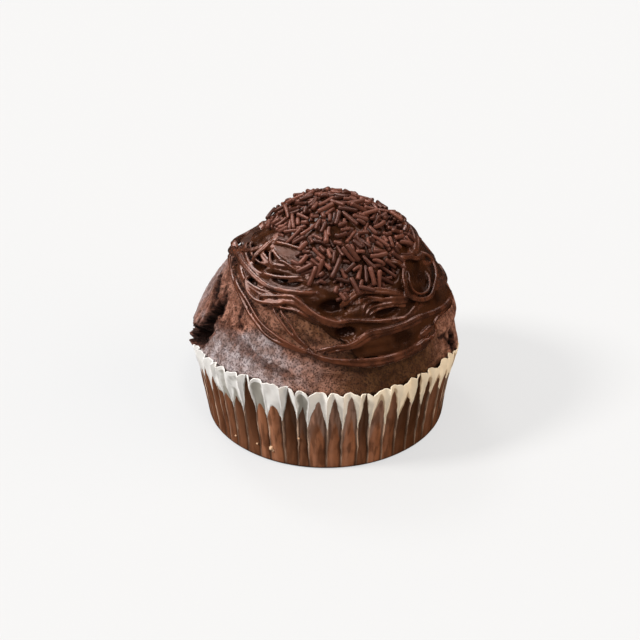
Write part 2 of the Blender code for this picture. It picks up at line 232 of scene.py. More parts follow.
# The strands that lie in view: half width and proud, in mm, and (turn, height in mm) points
STRANDS = {
    "outer_swag": (0.48, 0.7, (
        (-98, 41.2), (-77, 41.4), (-55, 39.6), (-39, 36.8), (-27, 34.6), (-7, 32.7), (16, 29.9),
        (29, 29.4), (53, 29.4),
    )),
    "outer_swag_twin": (0.42, 0.9, (
        (-70, 41.6), (-49, 39.7), (-36, 37.2), (-24, 35.3), (-2, 32.4), (9, 31.6), (31, 30.6),
        (46, 31.0),
    )),
    "swag_belly": (0.75, 0.8, ((-8, 32.6), (4, 31.4), (16, 30.4), (30, 30.0), (44, 30.3), (52, 30.8))),
    "right_rise": (0.36, 0.7, ((50, 29.4), (58, 30.8), (60, 32.6), (69, 32.5), (88, 30.4))),
    "knob_strand": (0.58, 1.5, (
        (-99, 42.5), (-79, 44.0), (-63, 44.2), (-50, 43.9), (-39, 43.5), (-29, 43.7), (-7, 44.3),
    )),
    "knob_inner": (0.4, 1.1, ((-96, 42.4), (-76, 43.6), (-62, 42.8), (-51, 41.4))),
    "curl": (0.44, 1.2, (
        (-54, 44.2), (-57, 42.8), (-52, 41.3), (-44, 40.5), (-38, 40.6), (-29, 41.3), (-22, 42.4),
    )),
    "curl_inner": (0.28, 0.9, ((-48, 43.1), (-41, 42.8), (-35, 42.1))),
    "middle_upper": (0.44, 1.3, (
        (-44, 41.2), (-36, 42.0), (-27, 42.8), (-19, 42.8), (-5, 40.2), (6, 39.0), (14, 39.1),
        (34, 37.4),
    )),
    "middle_lower": (0.5, 1.1, (
        (-40, 40.8), (-32, 41.4), (-24, 42.0), (-16, 41.6), (-1, 38.9), (8, 38.2),
    )),
    "middle_edge": (0.32, 0.8, ((-38, 40.3), (-25, 40.8), (-16, 40.6), (-6, 39.0))),
    "highlight": (0.5, 1.4, ((2, 39.1), (10, 39.2), (19, 38.8))),
    "diagonal": (0.36, 0.6, ((-33, 40.6), (-24, 38.1), (-16, 35.7), (-2, 32.2))),
    "diagonal_twin": (0.34, 0.7, ((-29, 40.8), (-19, 37.9), (-14, 35.8), (-6, 33.4))),
    "crown_drop": (0.4, 1.6, ((-57, 48.9), (-50, 47.7), (-42, 46.2))),
    "crown_slant": (0.34, 1.5, ((-45, 47.8), (-35, 48.0), (-22, 47.2))),
    "crown_fold": (0.46, 1.3, ((-52, 45.0), (-39, 45.4), (-28, 46.0), (-16, 46.8))),
    "crown_fold_low": (0.36, 1.2, ((-30, 45.2), (-21, 45.9), (-10, 46.0))),
    "crown_arc": (0.44, 1.4, ((-62, 49.8), (-45, 50.5), (-31, 50.7), (-17, 51.3))),
    "left_fold": (0.75, 1.2, ((-62, 44.8), (-64, 46.7), (-63, 48.6), (-66, 50.6))),
    "left_shelf": (0.6, 1.1, ((-92, 43.0), (-78, 45.6), (-70, 47.3), (-67, 48.8))),
    "left_ledge": (0.8, 0.3, ((-136, 37.8), (-114, 39.0), (-96, 41.8), (-80, 44.4))),
    "right_band": (0.8, 1.2, ((6, 41.8), (15, 43.8), (24, 44.0), (35, 43.0), (48, 40.8))),
    "right_band_low": (0.34, 1.0, ((16, 42.4), (24, 42.8), (34, 41.6), (44, 40.4), (55, 39.6))),
    "fan_first": (0.27, 1.1, ((18, 38.9), (20, 41.4), (26, 42.0), (38, 41.0))),
    "fan_second": (0.27, 1.1, ((19, 38.9), (23, 40.8), (32, 40.9), (46, 39.8))),
    "fan_third": (0.27, 1.1, ((20, 39.0), (26, 40.2), (35, 40.1), (44, 39.2))),
    "fan_low": (0.32, 1.0, ((19, 39.2), (27, 38.3), (35, 37.6), (44, 37.0), (55, 37.6))),
    "fan_cross": (0.3, 1.0, ((55, 38.8), (49, 37.9), (42, 37.2), (34, 37.0))),
    "right_swag": (0.55, 1.0, (
        (-5, 33.5), (4, 34.4), (11, 34.6), (16, 35.5), (21, 36.3), (30, 36.1), (40, 35.9), (50, 35.7),
        (62, 34.4), (78, 32.6), (94, 31.6),
    )),
    "right_swag_low": (0.36, 0.9, (
        (-2, 33.1), (8, 33.7), (14, 34.2), (20, 35.2), (28, 35.4), (50, 35.0),
    )),
    "loop": (0.55, 1.8, (
        (62, 46.4), (52, 44.4), (48, 42.2), (48, 40.3), (54, 38.6), (62, 37.8), (70, 38.5), (79, 39.3),
        (86, 41.0), (86, 44.0),
    )),
    "loop_inner": (0.36, 1.5, (
        (60, 44.4), (54, 42.8), (53, 40.9), (57, 39.4), (64, 39.0), (70, 40.1), (75, 41.8),
    )),
    "loop_top": (0.6, 1.8, ((44, 47.7), (52, 46.5), (56, 45.0))),
    "loop_brow": (0.6, 1.7, ((54, 47.3), (65, 45.8), (73, 44.4), (86, 43.4))),
    "loop_tail": (0.4, 1.2, ((52, 39.8), (40, 41.2), (28, 42.2))),
    "bead": (0.7, 1.3, ((47, 31.8), (50, 32.4), (54, 32.4), (56, 31.6))),
    "bead_low": (0.4, 1.1, ((46, 31.2), (51, 30.6), (56, 30.6))),
    "right_lip": (1.0, 0.7, ((72, 38.4), (84, 36.2), (98, 34.2), (112, 33.6))),
    "right_ledge": (1.3, 1.0, ((74, 45.4), (98, 45.2), (118, 44.4), (150, 42.4))),
    "right_shoulder": (1.1, 1.7, ((92, 47.8), (110, 47.2), (122, 46.2), (136, 44.2))),
}
STRAND_SIDES = 12
STRAND_DIVE = 0.9 * MM  # how far a strand dips into the film at its ends
DIVE_OVER = 5  # over so many of its rings
ROUND_OVER = 4  # and over so many it rounds off
RIBBON_FROM = 0.5  # strands with at least this half width have two ribs
RIB_SIDES = (-0.62, 0.66)  # where the ribs lie across the strand, in half widths
RIB_WIDTH = 0.44  # a rib's own half width, the same
SPINE_FINER = 4  # how many times finer the strands' middles are for the search tree
# Fine strands that fill the film at the left: between which turns they start, how many degrees they
# run, and how high and how deep in mm they hang
FINE_STRANDS = 9
FINE_FROM = (-92, -58)
FINE_SPAN = (28, 62)
FINE_HEIGHTS = (43.0, 49.5)
FINE_SAG = (0.6, 2.2)
# The strands round the back: between which turns they lie, and the same for each
BACK_STRANDS = 9
BACK_FROM = 98
BACK_TO = 236
BACK_SPAN = (44, 66)
BACK_HEIGHTS = (39.5 * MM, 45.0 * MM)
BACK_SAG = (2.5 * MM, 6.0 * MM)
BACK_SEED = 11

# ---------------------------------------------------------------- camera and light
# The photograph's view, from the front: it looks down by the elevation at its target
CAMERA_ELEVATION = 32.05
CAMERA_DISTANCE = 0.5
CAMERA_TARGET = (-1.46 * MM, 0, 24.13 * MM)
CAMERA_LENS = 112.95  # in mm, as the sensor's width is
CAMERA_SENSOR = 36

FLOOR_HALF = 2.5
FLOOR_COLORS = ((0.21, 0.21, 0.21), (0.014, 0.01, 0.008))  # as it is, and in glossy surfaces
FLOOR_GLOW = 0.606  # how white the camera sees it
FLOOR_GLOW_COLOR = (0.97, 0.985, 1)
FLOOR_SHINE = (0.4, 0.1)  # how white the floor shines on to the muffin, at its left and right
FLOOR_IN_GLOSS = 0.008  # how white glossy surfaces mirror it
ROOM_BRIGHT_SIDE = (-0.62, 0.3, 0.72)
ROOM_STRENGTH = (0.16, 0.62)  # away from that side and towards it
ROOM_COLORS = ((1.0, 0.8, 0.62), (1.0, 1.0, 1.0))  # the same
# What glossy surfaces mirror: bright spots on a dark room, each as its way, the cosines of the angles
# from there at which it starts and is full, and its strength
GLEAMS = (
    ((-0.62, 0.3, 0.72), 0.86, 0.99, 6.2),
    ((0.15, 0.8, 0.58), 0.88, 0.99, 1.2),
    ((0.145, -0.446, 0.883), 0.985, 0.997, 7.0),
    ((0.53, 0.32, 0.78), 0.94, 0.992, 4.6),
    ((-0.45, -0.2, 0.87), 0.955, 0.99, 9.0),
)
DARK_IN_GLOSS = 0.02
GLOSS_COLOR = (1.0, 0.67, 0.59)
# Name, turn, elevation, strength, spread, colour, whether glossy surfaces mirror it
LIGHTS = (
    ("window", -76, 42, 2.9, 14, (1.0, 0.98, 0.95), False),
    ("far_window", -150, 52, 0.6, 16, (1.0, 1.0, 1.0), True),
    ("front_lamp", 18, 62, 0.75, 12, (1.0, 0.93, 0.86), False),
    ("warm_wall", 76, 26, 1.5, 60, (1.0, 0.82, 0.64), False),
)

# ---------------------------------------------------------------- vermicelli
VERMICELLI_TRIES = 3800
VERMICELLI_RADIUS = (0.44 * MM, 0.6 * MM)
VERMICELLI_LENGTH = (1.6 * MM, 5.4 * MM)
VERMICELLI_SIDES = 10
VERMICELLI_SEED = 8
GOLDEN_TURN = 137.508  # degrees from one rod to the next, which spreads them evenly
LAYER_TRIES = 6  # places tried for a rod on the icing, and again on other rods
# How near two rods' middles may come, as a share of their two radii: on the icing and on other rods
VERMICELLI_ROOM = (0.78, 0.74)
CROWN_BEND = 24 * MM  # the crown's radius of curvature, which a straight rod bridges
# The lowest height at which they lie: turn, height
VERMICELLI_EDGE = sizes(
    (-100, 49.8), (-76, 50.6), (-59, 50.6), (-30, 49.8), (-19, 47.0), (-5, 46.2), (3, 45.0), (9, 42.9),
    (17, 43.4), (27, 44.9), (37, 43.6), (48, 45.2), (66, 46.8), (95, 45.5), (130, 46.5), (180, 45.5),
    (230, 49.6),
)

# ---------------------------------------------------------------- finishes
# Two tones in soft patches, and how many patches a metre has
CRUMB_TONE = {"Light": (0.51, 0.245, 0.17), "Dark": (0.175, 0.068, 0.04), "Size": 520.0}
TORN_TONE = {"Light": (0.2, 0.08, 0.053), "Dark": (0.025, 0.008, 0.005), "Size": 900.0}
MOIST_TONE = {"Light": (0.115, 0.052, 0.02), "Dark": (0.06, 0.023, 0.007), "Size": 330.0}
# Pale greyish mauve: the closed skin's own tone with a painted sheen
SATIN_SHEEN_TONE = {"Light": (0.545, 0.475, 0.49), "Dark": (0.245, 0.176, 0.163), "Size": 420.0}
FILM_TONE = {"Light": (0.046, 0.0155, 0.006), "Dark": (0.016, 0.0052, 0.0021), "Size": 160.0}
RIBBON_TONE = {"Light": (0.1, 0.032, 0.015), "Dark": (0.036, 0.0115, 0.0055), "Size": 260.0}
SOAKED_TONE = {"Light": (0.31, 0.122, 0.057), "Dark": (0.22, 0.081, 0.036), "Size": 200.0}
PAPER_CRUMB_TONE = {"Light": (0.72, 0.5, 0.33), "Dark": (0.5, 0.3, 0.18), "Size": 900.0}
PATCH_EDGE = 0.16  # how softly the two tones meet
SPECK_EDGE = 0.09  # and the grain's dark specks

CRUMB_SPECK = (0.045, 0.018, 0.012)
# Near black: painted shade inside pores, cracks and craters
PIT_SHADE_COLOR = (0.004, 0.0015, 0.001)
# Dark band above the strands: smeared icing and painted shadow
SMEAR_SHADE_COLOR = (0.018, 0.006, 0.003)
# Painted shade for the film down in the hollows
SUNK_FILM_SHADE = (0.005, 0.0015, 0.001)
ROD_COLORS = ((0.03, 0.009, 0.005), (0.135, 0.048, 0.031))  # the darkest and the lightest rods
ROD_SPECK = (0.04, 0.014, 0.009)

# Dark panels: partly the paper's tone, partly painted shade of deep folds
DARK_PANEL_AND_FOLD_SHADE = (0.036, 0.012, 0.0035)
DRY_ARCHES = ((0.24, 0.155, 0.122), (0.07, 0.035, 0.02))  # on a light and on a dark panel
LIT_PANEL = (0.42, 0.19, 0.11)
STREAK_COLOR = (0.075, 0.027, 0.011)
STREAK_SHAPE = (1.0, 1.0, 0.16)  # streaks run up and down the paper
# Painted shade on the side of each panel that tucks under the next ridge
CREASE_SHADE_COLOR = (0.03, 0.01, 0.003)
LEFT_SHADE = (0.06, 0.02, 0.008)
RIGHT_SHADE = (0.03, 0.011, 0.003)
# Ridges: paper the cake never stained, with painted highlight where they catch light
PALE_RIDGE_AND_HIGHLIGHT = (0.85, 0.6, 0.45)
WHITE_PAPER = ((0.8, 0.79, 0.77), (0.95, 0.83, 0.64))  # at the muffin's left and right
SHADED_PAPER = ((0.3, 0.285, 0.25), (0.48, 0.36, 0.24))  # the same
# Painted contact shade round the foot of the case
FOOT_SHADE_COLOR = (0.03, 0.012, 0.006)


# ---------------------------------------------------------------- small helpers


def ease(value):
    """0 to 1 with level ends."""
    value = min(max(value, 0.0), 1.0)
    return value * value * (3 - 2 * value)


def blend(low, high, share):
    return low + (high - low) * share


def turned(turn, radius, height, lean=0.0):
    angle = math.radians(turn)
    return Vector((lean + radius * math.sin(angle), -radius * math.cos(angle), height))


def from_turn(turn_a, turn_b):
    """The signed angle from turn_a to turn_b, -180 to 180."""
    return (turn_b - turn_a + 180) % 360 - 180


def along(points, turn):
    """A value that runs smoothly through (turn, value) points right round the muffin."""
    count = len(points)
    for index in range(count):
        start, low = points[index]
        end, high = points[(index + 1) % count]
        span = (end - start) % 360
        share = ((turn - start) % 360) / span
        if share <= 1:
            return low + (high - low) * ease(share)
    return points[0][1]


def smooth_path(points, steps):
    """A Catmull-Rom curve through two-number points, with steps points in each stretch."""
    ends = [points[0], *points, points[-1]]
    path = []
    for index in range(len(points) - 1):
        a, b, c, d = (Vector(p) for p in ends[index : index + 4])
        for step in range(steps):
            s = step / steps
            bend = (2 * a - 5 * b + 4 * c - d) * s**2 + (3 * b - a - 3 * c + d) * s**3
            path.append(0.5 * (2 * b + (c - a) * s + bend))
    path.append(Vector(points[-1]))
    return path


def ring_faces(rings):
    """Points and faces of a closed skin over rings. A ring of one point is a pole."""
    points = [point for ring in rings for point in ring]
    faces = []
    start = 0
    for low, high in zip(rings, rings[1:]):
        above = start + len(low)
        count = max(len(low), len(high))
        for index in range(count):
            after = (index + 1) % count
            if len(low) == 1:
                faces.append((start, above + after, above + index))
            elif len(high) == 1:
                faces.append((start + index, start + after, above))
            else:
                faces.append((start + index, start + after, above + after, above + index))
        start = above
    return points, faces


def add_rings(points, faces, rings):
    """Adds a closed skin over rings to a mesh, and says how many points it has."""
    more_points, more_faces = ring_faces(rings)
    faces += [tuple(corner + len(points) for corner in face) for face in more_faces]
    points += more_points
    return len(more_points)


def round_ring(middle, across, upward, radius, sides, flat=1.0):
    """Points in a circle round a middle, flattened along the upward way."""
    ring = []
    for side in range(sides):
        angle = 2 * math.pi * side / sides
        place = middle + across * (math.cos(angle) * radius)
        ring.append(place + upward * (math.sin(angle) * radius * flat))
    return ring


def search_tree(places):
    tree = kdtree.KDTree(len(places))
    for index, place in enumerate(places):
        tree.insert(place, index)
    tree.balance()
    return tree


def mesh_object(name, points, faces, smooth=True):
    mesh = bpy.data.meshes.new(name)
    mesh.from_pydata([tuple(point) for point in points], [], faces)
    if smooth:
        mesh.shade_smooth()
    made = bpy.data.objects.new(name, mesh)
    bpy.context.scene.collection.objects.link(made)
    return made


def paint(made, name, values):
    """Stores one number for each point of the mesh, for its material to read."""
    layer = made.data.attributes.new(name, "FLOAT", "POINT")
    layer.data.foreach_set("value", values)


def apply_modifiers(made):
    bpy.context.view_layer.update()
    graph = bpy.context.evaluated_depsgraph_get()
    mesh = bpy.data.meshes.new_from_object(made.evaluated_get(graph))
    made.modifiers.clear()
    made.data = mesh


# ---------------------------------------------------------------- the forms that the pieces share


def wall_radius(height):
    """Middle of the paper wall, between the tops and the bottoms of its pleats."""
    return BASE_RADIUS + (RIM_RADIUS - BASE_RADIUS) * height / RIM_HEIGHT


def pleat_depth(height):
    return BASE_PLEAT + (RIM_PLEAT - BASE_PLEAT) * min(height / RIM_HEIGHT, 1)


def rim_height(turn):
    return RIM_HEIGHT - along(RIM_DIPS, turn)


def dome_share(height):
    return min(max((height - WIDEST_HEIGHT) / (CAKE_TOP - WIDEST_HEIGHT), 0), 1)


def dome_radius(height):
    return WIDEST_RADIUS * (1 - dome_share(height) ** DOME_RISE) ** DOME_CLOSE


def dome_lean(height):
    return LEAN_FOOT + (LEAN_TOP - LEAN_FOOT) * dome_share(height)


def dome_normal(turn, height):
    step = 0.2 * MM
    low, high = max(height - step, WIDEST_HEIGHT), min(height + step, CAKE_TOP)
    slope = (dome_radius(low) - dome_radius(high)) / (high - low)
    side = Vector((1, slope)).normalized()
    return turned(turn, side.x, side.y)


def dome_point(turn, height, proud=0.0):
    """A point of the cake's dome, or one that stands proud of it along its normal."""
    return turned(turn, dome_radius(height), height, dome_lean(height)) + dome_normal(turn, height) * proud


def lump(point):
    """The slow unevenness of the crust at a point, as a distance along its normal."""
    return CAKE_LUMP * noise.noise(point / (9 * MM))


def reach_in(spot, turn, height):
    """How far a place is from a spot's middle, as a share of the spot's half sizes."""
    across = math.radians(from_turn(spot[0], turn)) * dome_radius(height)
    return math.hypot(across / spot[2], (height - spot[1]) / spot[3])


def hollow(turn, height):
    """How deep the icing has sunk in at a place."""
    return sum(spot[4] * ease((1.2 - reach_in(spot, turn, height)) / 0.6) for spot in HOLLOWS)


# ---------------------------------------------------------------- cake


def crack_lines():
    """A search tree over the cracks' points, and each point's half width and depth."""
    spots = []
    for half_width, deep, route in CRACKS:
        path = smooth_path(route, CRACK_STEPS)
        for index, (turn, height) in enumerate(path):
            taper = 0.35 + 0.65 * math.sin(math.pi * index / (len(path) - 1)) ** 0.6
            spots.append((dome_point(turn, height * MM), half_width * taper, deep))
    return search_tree([spot[0] for spot in spots]), spots


def crust_height(turn, height, point, cracks):
    """How far the crust stands out at a place, how deep its pits are and how torn it is there."""
    openness = along(OPEN_CRUMB, turn)
    higher_up = ease((height - 24 * MM) / (9 * MM))
    openness *= 0.35 + 0.65 * higher_up
    ragged = noise.fractal(point / GRAIN_SIZE, 0.8, 2.1, 4)
    nearest = noise.voronoi(point / PORE_SPACING)[0][0]
    pore = ease((0.4 - nearest) / 0.28) * openness
    torn = 0.0
    crater = 0.0
    for spot in CRATERS:
        away = reach_in(spot, turn, height)
        if away < 2:
            away += 0.42 * noise.noise(point / (1.7 * MM)) + 0.2 * ragged
            inside = ease((1.1 - away) / 0.4)
            crater = max(crater, spot[4] * inside * (1 + 0.25 * ragged))
            torn = max(torn, ease((1.7 - away) / 0.6))
    tree, spots = cracks
    index, away = tree.find(point)[1:]
    half_width, deep = spots[index][1:]
    if away < 3 * half_width:
        across = away / half_width + 0.6 * noise.noise(point / GRAIN_SIZE) + 0.3 * ragged
        crater += deep * ease((0.95 - across) / 0.6) * (0.6 + 1.2 * noise.noise(point / (0.7 * MM)))
        torn = max(torn, min(0.5 + deep / MM, 0.95) * ease((1.6 - across) / 0.9))
    rough = blend(*CRUST_ROUGH, openness) * MM + TORN_ROUGH * torn
    stand = lump(point) + rough * ragged - PORE_DEPTH * pore - crater
    # the second value marks pores, cracks and craters for painted shade
    return stand, max(pore * 0.8, ease(crater / (0.55 * MM))), max(torn, 0.45 * openness)


def cake_radius_in_case(height, rim):
    """Radius of the cake where the paper holds it, easing out to the dome at the rim."""
    held = wall_radius(height) - pleat_depth(height) - CLEAR_OF_PAPER
    free = ease((height - (rim - SWELL_FROM)) / SWELL_OVER)
    return blend(min(held, dome_radius(height)), dome_radius(height), free)


def make_cake(spine):
    """The crumb: a plug inside the case and a dome with pores, cracks and craters."""
    turns = [360 * index / CAKE_COLUMNS for index in range(CAKE_COLUMNS)]
    rims = [rim_height(turn) for turn in turns]
    cracks = crack_lines()
    rings = [[Vector((0, 0, CAKE_FOOT))]]
    for share in PLUG_ROWS:
        ring = []
        for turn, rim in zip(turns, rims):
            height = CAKE_FOOT + (rim - SWELL_FROM - CAKE_FOOT) * share
            ring.append(turned(turn, cake_radius_in_case(height, rim), height))
        rings.append(ring)
    below = sum(len(ring) for ring in rings)
    depths, tears = [], []
    fine_rows = round(BARE_CRUST / CRUST_STEP)
    rises = [FINE_TO * math.sin(math.pi / 2 * index / fine_rows) for index in range(fine_rows)]
    for rise in rises:
        ring = []
        for turn, rim in zip(turns, rims):
            start = rim - SWELL_FROM
            height = start + (CAKE_TOP - start) * rise
            out_of_case = ease((height - (rim - CLEAR_FROM)) / CLEAR_OVER)
            bare = turned(turn, cake_radius_in_case(height, rim), height, dome_lean(height) * out_of_case)
            stand, depth, torn = crust_height(turn, height, bare, cracks)
            stand = (stand - CRUST_IN) * out_of_case - hollow(turn, height)
            ring.append(bare + dome_normal(turn, height) * stand)
            depths.append(depth * out_of_case)
            tears.append(torn)
        rings.append(ring)
    last = rises[-1]
    for rise in CROWN_ROWS:
        ring = []
        for turn, rim in zip(turns, rims):
            height = rim + (CAKE_TOP - rim) * blend(last, 1, (rise - last) / (1 - last))
            ring.append(dome_point(turn, height))
        rings.append(ring)
    rings.append([Vector((LEAN_TOP, 0, CAKE_TOP))])
    cake = mesh_object("muffin_cake", *ring_faces(rings))
    corners = [vertex.co for vertex in cake.data.vertices]
    above = len(corners) - below - len(depths)
    paint(cake, "pit_shade", [0.0] * below + depths + [0.0] * above)
    paint(cake, "torn", [0.0] * below + tears + [0.0] * above)
    paint(cake, "skin", [satin_skin_and_sheen(corner) for corner in corners])
    paint(cake, "moist", [moist_skin(corner) for corner in corners])
    paint(cake, "smear_shade_mask", [smear_and_shade(corner, spine) for corner in corners])
    return cake


def smear_and_shade(point, spine):
    """How much thin icing has run on to the crust just above a strand, and how much painted shadow lies
    there.
    """
    nearest, _, away = spine[0].find(point)
    if away > 4 * MM:
        return 0.0
    above = ease((point.z - nearest.z + 0.2 * MM) / (0.8 * MM))
    return above * ease((2.5 * MM - away + 0.7 * MM * noise.noise(point / (2 * MM))) / (0.9 * MM))


def front_turn(point):
    return math.degrees(math.atan2(point.x, -point.y))


def along_stretch(turn, start, start_fade, end, end_fade):
    """1 within a stretch of turns, with a fade at each end."""
    return ease(from_turn(start, turn) / start_fade) * ease(from_turn(turn, end) / end_fade)


def about_turn(turn, middle, half, fade):
    """1 near a turn and 0 half the width away from it."""
    return ease((half - abs(from_turn(middle, turn))) / fade)


def satin_skin_and_sheen(point):
    """Where the crust kept its closed, slightly shiny skin: low on the front, and at the far left. Its pale
    colour there is painted sheen.
    """
    turn = front_turn(point)
    top = 33.4 * MM - 0.05 * MM * abs(turn + 36) + 0.8 * MM * noise.noise(point / (4 * MM))
    top += 2.6 * MM * math.exp(-(((turn + 33) / 13) ** 2))
    band = ease((top - point.z) / (2.4 * MM))
    left = 0.75 * about_turn(turn, *SATIN_LEFT) * ease((42 * MM - point.z) / (6 * MM))
    return max(along_stretch(turn, *SATIN_FRONT) * band, left)


def moist_skin(point):
    """Where the crust is dark and moist: the front's right half, between the swags and behind."""
    turn = front_turn(point)
    between = along_stretch(turn, *MOIST_BETWEEN) * ease((point.z - 33.5 * MM) / (1.5 * MM))
    return max(along_stretch(turn, *MOIST_FRONT), 0.7 * about_turn(turn, *MOIST_BEHIND), 0.75 * between)


# ---------------------------------------------------------------- paper case


def pleat_rows():
    """Every pleat right round, those in view first, as PLEATS_IN_VIEW has them but in metres."""
    draw = random.Random(PLEAT_SEED)
    rows = [(turn, tip * MM, dip * MM, arch * MM, *look) for turn, tip, dip, arch, *look in PLEATS_IN_VIEW]
    first, last = rows[0][0], rows[-1][0]
    step = (360 - (last - first)) / (PLEATS_BEHIND + 1)
    for index in range(1, PLEATS_BEHIND + 1):
        turn = last + step * (index + draw.uniform(-0.22, 0.22))
        rim = rim_height(turn)
        dark = draw.random()
        arch = rim * (draw.uniform(0.92, 0.98) if dark > 0.8 else draw.uniform(0.76, 0.9))
        tip = rim * draw.uniform(0.5, 0.64)
        dip = draw.uniform(0.1, 0.9) * MM
        rows.append((turn, tip, dip, arch, dark, draw.uniform(0, 0.8), draw.uniform(0.4, 1)))
    return rows


def stain_line(share, left, right):
    """Height of the edge between white and soaked paper, a share of the way between two ridges."""
    tip = left[1] if share < 0.5 else right[1]
    spread = abs(1 - 2 * share)
    return left[3] - (left[3] - tip) * spread ** blend(1.6, 0.6, left[4] ** 3)


def pleat_profile(share, free, dark, deep):
    """How far a pleat stands out, -1 to 1, at a share of the way between two ridges.

    Low down it is a bulging panel between thin ridges. Towards the rim it opens to a free fold.
    """
    crease = min(share, 1 - share)
    panel = blend(1.5, 0.6, dark) * math.sin(math.pi * share**0.85) ** 0.75 - blend(0.8, 1.05, dark)
    ridge = 0.9 * math.exp(-((crease / 0.045) ** 2))
    stuck = min(panel + ridge, 1.0)
    fold = 1 - 2 * deep * (1 - abs(1 - 2 * share) ** blend(1.9, 0.9, dark))
    return blend(stuck, fold, free)


def pleat_sway(ridge_turn, height):
    """How far a ridge strays sideways at a height, in degrees."""
    ridge_turn %= 360
    slow = noise.noise(Vector((ridge_turn * 0.7, height / (9 * MM), 5.3)))
    return 1.1 * slow + 0.35 * noise.noise(Vector((ridge_turn * 0.9, height / (2.5 * MM), 2.2)))


def case_columns():
    """Columns right round the wall.

    Each has its turn, its share of the way between two ridges, the rows of both ridges, and how far
    the free fold between them leans and lifts.
    """
    draw = random.Random(PLEAT_SEED + 1)
    rows = pleat_rows()
    columns = []
    for index, left in enumerate(rows):
        right = rows[(index + 1) % len(rows)]
        span = (right[0] - left[0]) % 360
        lean = draw.uniform(-0.3, 0.3)
        lift = draw.uniform(-0.35, 0.35) * MM
        for step in range(PLEAT_COLUMNS):
            even = step / PLEAT_COLUMNS
            share = even - 0.07 * math.sin(2 * math.pi * even)
            columns.append((left[0] + span * share, share, left, right, lean, lift))
    return columns


def wall_point(column, level):
    """A point of the wall, a share of the way up a column, and its numbers for the paper's material."""
    turn, share, left, right, lean, lift = column
    to_ridge = min(share, 1 - share)
    across = math.sin(math.pi * share)
    arc = 1 - (1 - across) ** 2
    rough_rim = 0.42 * MM * noise.noise(Vector((turn * 0.6, 1.3, 6.1)))
    dip = blend(left[2], right[2], share)
    rim = rim_height(turn) - dip * (1 - arc) + (0.2 * MM + lift + rough_rim) * arc
    height = rim * level
    free = ease((height - rim + 10 * MM) / (9 * MM))
    middle = min(max(share + lean * 4 * share * (1 - share) * free, 0), 1)
    settled = ease((height + 0.6 * MM) / (6 * MM))
    stand = blend(0.7, pleat_profile(middle, free, left[4], left[6]), settled)
    wander = 0.25 * MM * noise.noise(Vector((turn * 0.11, height / (7 * MM), 3.7)))
    slant = Vector((turn * 0.5 + height / (3 * MM), height / (2.2 * MM), 8.1))
    crinkle = 0.2 * MM * noise.noise(slant)
    reach = pleat_depth(height) * stand + wander * free + crinkle * (0.4 + 0.6 * free) * settled
    valley = cake_radius_in_case(height, rim_height(turn)) + 0.12 * MM
    radius = min(max(wall_radius(height) + reach, valley), wall_radius(height) + pleat_depth(height))
    tuck = 0.5 * MM * (1 - height / CASE_FOOT) ** 2 if height < CASE_FOOT else 0
    sway = blend(pleat_sway(left[0], height), pleat_sway(right[0], height), share)
    # where the panel tucks under the next ridge, which the material darkens as painted shade
    tucked = ease((share - 0.66) / 0.34) * (1 - free) + (1 - across**0.5) * free
    return turned(turn + sway * ease(height / (8 * MM)), radius - tuck, height), {
        "white_edge": (height - stain_line(share, left, right)) / MM,
        "panel_shade_and_tone": left[4],
        "ridge": math.exp(-((to_ridge / 0.07) ** 2)),
        "crease": max(tucked, ease(1 - share / 0.06) * (1 - free)),
        "lit_side": math.exp(-(((share - 0.3) / 0.16) ** 2)) * (1 - free),
        "shade": left[5] * ease((rim - height) / (1.3 * MM)) * across**0.3,
        "level": level,
    }


def make_case():
    """The pleated cup: thin ridges between soaked panels, opening to free folds at its white rim."""
    columns = case_columns()
    rings = [[Vector((0, 0, 0))]]
    for inset in BASE_INSETS:
        rings.append([turned(column[0], BASE_RADIUS - inset, 0) for column in columns])
    in_base = sum(len(ring) for ring in rings)
    marks = {name: [start] * in_base for name, start in CASE_MARKS.items()}
    for row in range(WALL_ROWS + 1):
        ring = []
        for column in columns:
            point, numbers = wall_point(column, row / WALL_ROWS)
            ring.append(point)
            for name, number in numbers.items():
                marks[name].append(number)
        rings.append(ring)
    case = mesh_object("pleated_case", *ring_faces(rings))
    for name, values in marks.items():
        paint(case, name, values)
    sheet = case.modifiers.new("thickness", "SOLIDIFY")
    sheet.thickness = PAPER
    sheet.offset = -1
    apply_modifiers(case)
    case.data.shade_smooth()
    case.data.set_sharp_from_angle(angle=math.radians(48))
    return case


# ---------------------------------------------------------------- icing


def film_thickness(turn, height, share):
    """How thick the poured film lies: it swells in soft ridges that run round the muffin."""
    place = dome_point(turn, height)
    flow = noise.noise(Vector((place.x / (8 * MM), place.y / (8 * MM), place.z / (1.3 * MM))))
    soft = noise.noise(place / (4 * MM))
    swell = (0.42 * flow + 0.2 * soft) * MM
    return blend(FILM_EDGE, FILM_CROWN, share) + swell * (1 - share * 0.5)


